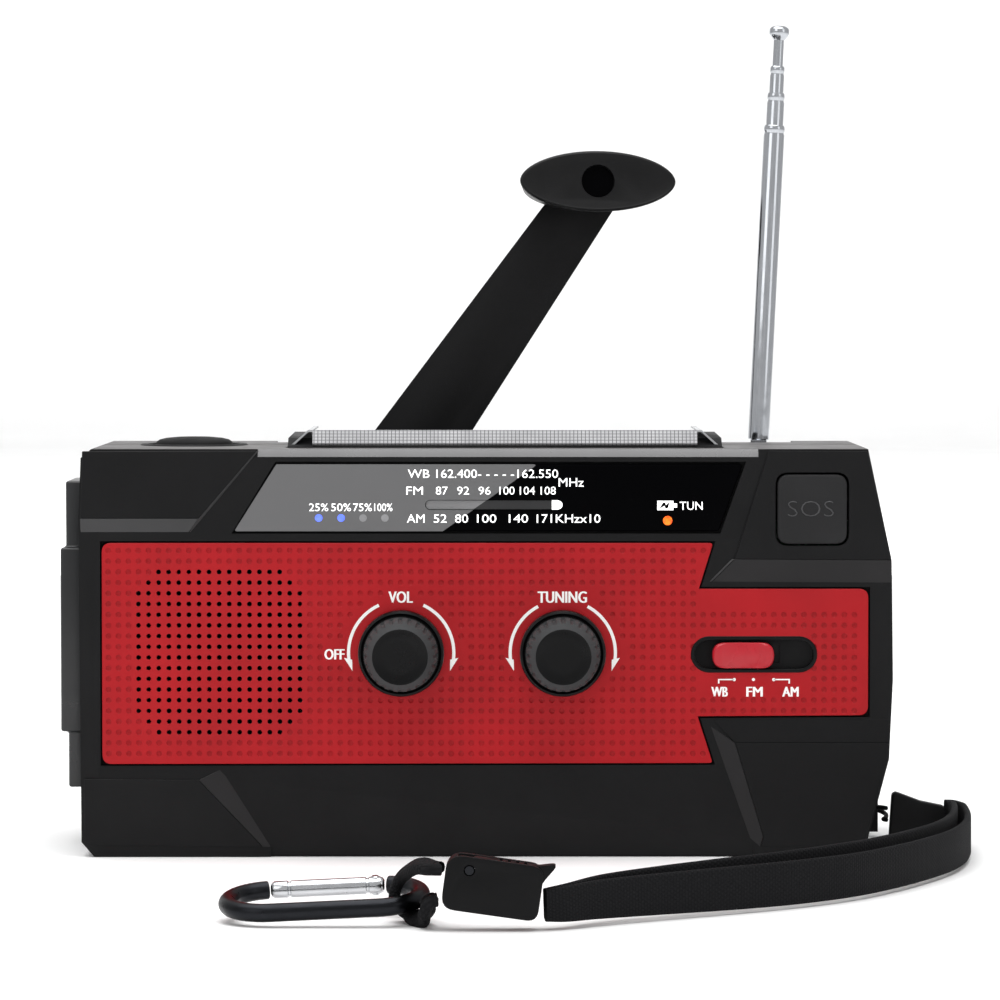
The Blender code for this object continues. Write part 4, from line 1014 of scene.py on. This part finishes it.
def make_mast():
    """Four drawn tubes, each with a rolled collar at its top, and a turned tip."""
    stand_in("mast_base", node_copy("mast_base"), CHROME, body="mast_base", slot="chrome", bevel=0.15)
    stand = at(55, 21, 75.2) @ Matrix.Rotation(math.radians(2.8), 4, "Y")
    tubes = ((2.1, 1.85, 3.6, 66.9), (1.75, 1.55, 8.0, 73.4), (1.45, 1.15, 9.0, 78.8), (1.05, 0.0, 10.0, 84.0))
    for i, (outer, inner, start, top) in enumerate(tubes):
        if inner:
            floor = start + (0.6 if i else 3.0)
            profile = [(0, start), (outer - 0.2, start), (outer, start + 0.2), (outer, top - 1.9),
                       (outer - 0.12, top - 1.7), (outer - 0.12, top - 1.4), (outer, top - 1.2), (outer, top - 0.5),
                       (outer - 0.08, top - 0.15), (inner + 0.06, top), (inner, top - 0.1), (inner, floor), (0, floor)]
        else:
            profile = [(0, start), (outer, start), (outer, top), (1.25, top + 0.15), (1.9, top + 1.0),
                       (2.0, top + 1.25), (2.0, top + 2.1), (1.85, top + 2.4), (1.3, top + 2.8), (0.5, top + 2.88),
                       (0, top + 2.9)]
        bm = turned(profile, (0, 0, 0), Z, 48)
        if i == 0:
            tang = prism(rectangle(-1.6, 0.2, 1.6, 4.2), -0.72, 0.72)
            eye = turned([*rectangle(1.02, -0.72, 1.88, 0.72), (1.02, -0.72)], (0, 0, 0), Y, 32)
            bm = joined(bm, tang, eye)
        stand_in(f"mast_tube_{i + 1}", moved(bm, stand), CHROME, body=f"mast_{i + 1}", slot="chrome", smooth=40)


# ---------------------------------------------------------------- sides, back and the works inside

def make_outside():
    """Bevelled copies of the plain outer nodes, each with its own finish."""
    for node, body, look, bevel in (
        ("port_cover", "port_cover", FLAP, 1.3), ("battery_door", "case", BLACK, 0.35),
        ("torch_reflector", "case", MIRROR, 0.1), ("torch_lens", "case", LENS, 0.3),
        ("port_block", "case", PORTS, 0.15),
    ):
        stand_in(node, node_copy(node), look, body=body, bevel=bevel, segments=3, smooth=38)
    low, high = (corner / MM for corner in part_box("battery_door"))
    ribs = [prism(rectangle(x - 0.7, low.z + 3, x, high.z - 3), high.y - 0.1, high.y + 0.35)
            for x in (high.x - 3.3 - 1.4 * i for i in range(5))]
    piece("battery_door_ribs", joined(*ribs), BLACK, slot="case_black", bevel=0.12)


def make_inside():
    """Better finishes for the nodes that keep their shape."""
    screws = " ".join(f"case_screw_{i + 1}" for i in range(4))
    looks = (
        (STEEL, f"volume_pot band_switch dynamo lid_hinge_pin crank_pin {screws}"), (CONE, "speaker"),
        (NYLON, "tuning_capacitor dial_idler dial_pointer crank_gear step_gear"), (LED_CLEAR, "torch_led"),
        (BRASS, "tuning_pinion dynamo_pinion"), (BOARD, "dial_board main_board lamp_board"),
        (FERRITE, "ferrite_rod"), (WRAP, "battery_cell"),
    )
    for look, nodes in looks:
        for node in nodes.split():
            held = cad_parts[node]
            held.data.materials.clear()
            held.data.materials.append(look)


def circuit(name):
    """Green lacquer over copper tracks, with paler pads where cells of a noise meet."""
    made = Finish(name, 0.35, Coat_Weight=0.3, Coat_Roughness=0.1)
    cells = made.add("ShaderNodeTexVoronoi", {"Vector": made.place, "Scale": 380.0}, distance="MANHATTAN",
                     feature="DISTANCE_TO_EDGE")
    track = made.math("LESS_THAN", cells.outputs["Distance"], 0.07)
    pads = made.add("ShaderNodeTexVoronoi", {"Vector": made.place, "Scale": 520.0})
    pad = made.math("LESS_THAN", pads.outputs["Distance"], 0.16)
    green = made.blend(track, srgb(18, 74, 44), srgb(34, 108, 66))
    made.paint(pad, green, srgb(190, 180, 150))
    made.bump(track, 0.03)
    return made.material


def solar(name):
    """Dark blue cell with pale rulings, which fade into the crystal grain."""
    made = Finish(name, 0.25, Coat_Weight=0.8, Coat_Roughness=0.05)
    split = made.add("ShaderNodeSeparateXYZ", {0: made.place})
    ruled = made.stripes(split.outputs[1], 1.1, 0.1)
    grain = made.blend(made.between(made.noise(3), 0, 1), srgb(14, 18, 36), srgb(26, 34, 60))
    made.paint(ruled, grain, srgb(120, 126, 138))
    made.bump(ruled, 0.02)
    return made.material


def glaze(name):
    """The cell's front slope, painted pale as a painted reflection of the bright surroundings, ruled with a fine grid
    along it and down it.
    """
    made = Finish(name, 0.3, Specular_IOR_Level=0.4)
    split = made.add("ShaderNodeSeparateXYZ", {0: made.place})
    across = made.stripes(split.outputs[0], 0.75, 0.22)
    down = made.stripes(split.outputs[2], 0.6, 0.2)
    ruled = made.math("MAXIMUM", across, down)
    # Painted reflection: pale greys for the bright surroundings seen in the glass slope.
    painted_reflection = made.blend(made.noise(9), srgb(150, 150, 153), srgb(232, 232, 234))
    made.paint(ruled, painted_reflection, srgb(118, 118, 121))
    made.bump(ruled, 0.01)
    return made.material


def clear(name, tint, roughness):
    made = Finish(name, roughness, Transmission_Weight=1.0, IOR=1.49)
    made.paint(made.between(made.noise(6), 0, 1), tint, scaled(tint, 1.03))
    made.link(made.between(made.noise(4), roughness, roughness + 0.03), "Roughness")
    return made.material


BUTTON = moulded("button_rubber", (33, 33, 34), 0.6, 0.3, 0.02, shine=0.2)
BUTTON_MARK = moulded("button_mark", (54, 54, 56), 0.5, 0.2, 0.005)
# A lighter grey for the knobs' knurled band: painted highlight.
KNURL_HIGHLIGHT = moulded("knurl_painted_highlight", (66, 67, 68), 0.6, 0.3, 0.01, shine=0.06)
GRIP = moulded("grip_black", (15, 15, 16), 0.42, 0.35, 0.02, shine=0.2)
RIM = moulded("lid_rim_silver", (178, 180, 182), 0.3, 0.4, 0.006, tone=0.05)
SILVER_INK = metal("silver_ink", (200, 202, 206), 0.35)
MIRROR = metal("torch_mirror", (215, 217, 220), 0.08, depth=0.001, spread=0.02)
FLAP = moulded("flap_rubber", (26, 27, 29), 0.32, 0.4, 0.01)
PORTS = moulded("port_block", (48, 48, 50), 0.45, 0.3, 0.01)
CONE = moulded("speaker_cone", (36, 35, 34), 0.85, 0.5, 0.08)
NYLON = moulded("nylon", (226, 224, 214), 0.45, 0.4, 0.01, tone=0.04)
FERRITE = moulded("ferrite", (62, 62, 66), 0.55, 0.25, 0.03)
WRAP = moulded("cell_wrap", (30, 74, 138), 0.3, 1.2, 0.01, tone=0.06, Coat_Weight=0.4, Coat_Roughness=0.1)
BOARD, SOLAR, GLAZE = circuit("circuit_board"), solar("solar_cell"), glaze("solar_slope_painted_reflection")
COVER = clear("solar_cover", (0.96, 0.97, 0.98, 1), 0.03)
LENS = clear("torch_lens", (0.97, 0.98, 1.0, 1), 0.02)
LED_CLEAR = lit("torch_led", srgb(244, 238, 190), 0.2)
make_knobs()
make_switch()
make_buttons()
make_lid()
make_crank()
make_mast()
make_outside()
make_inside()
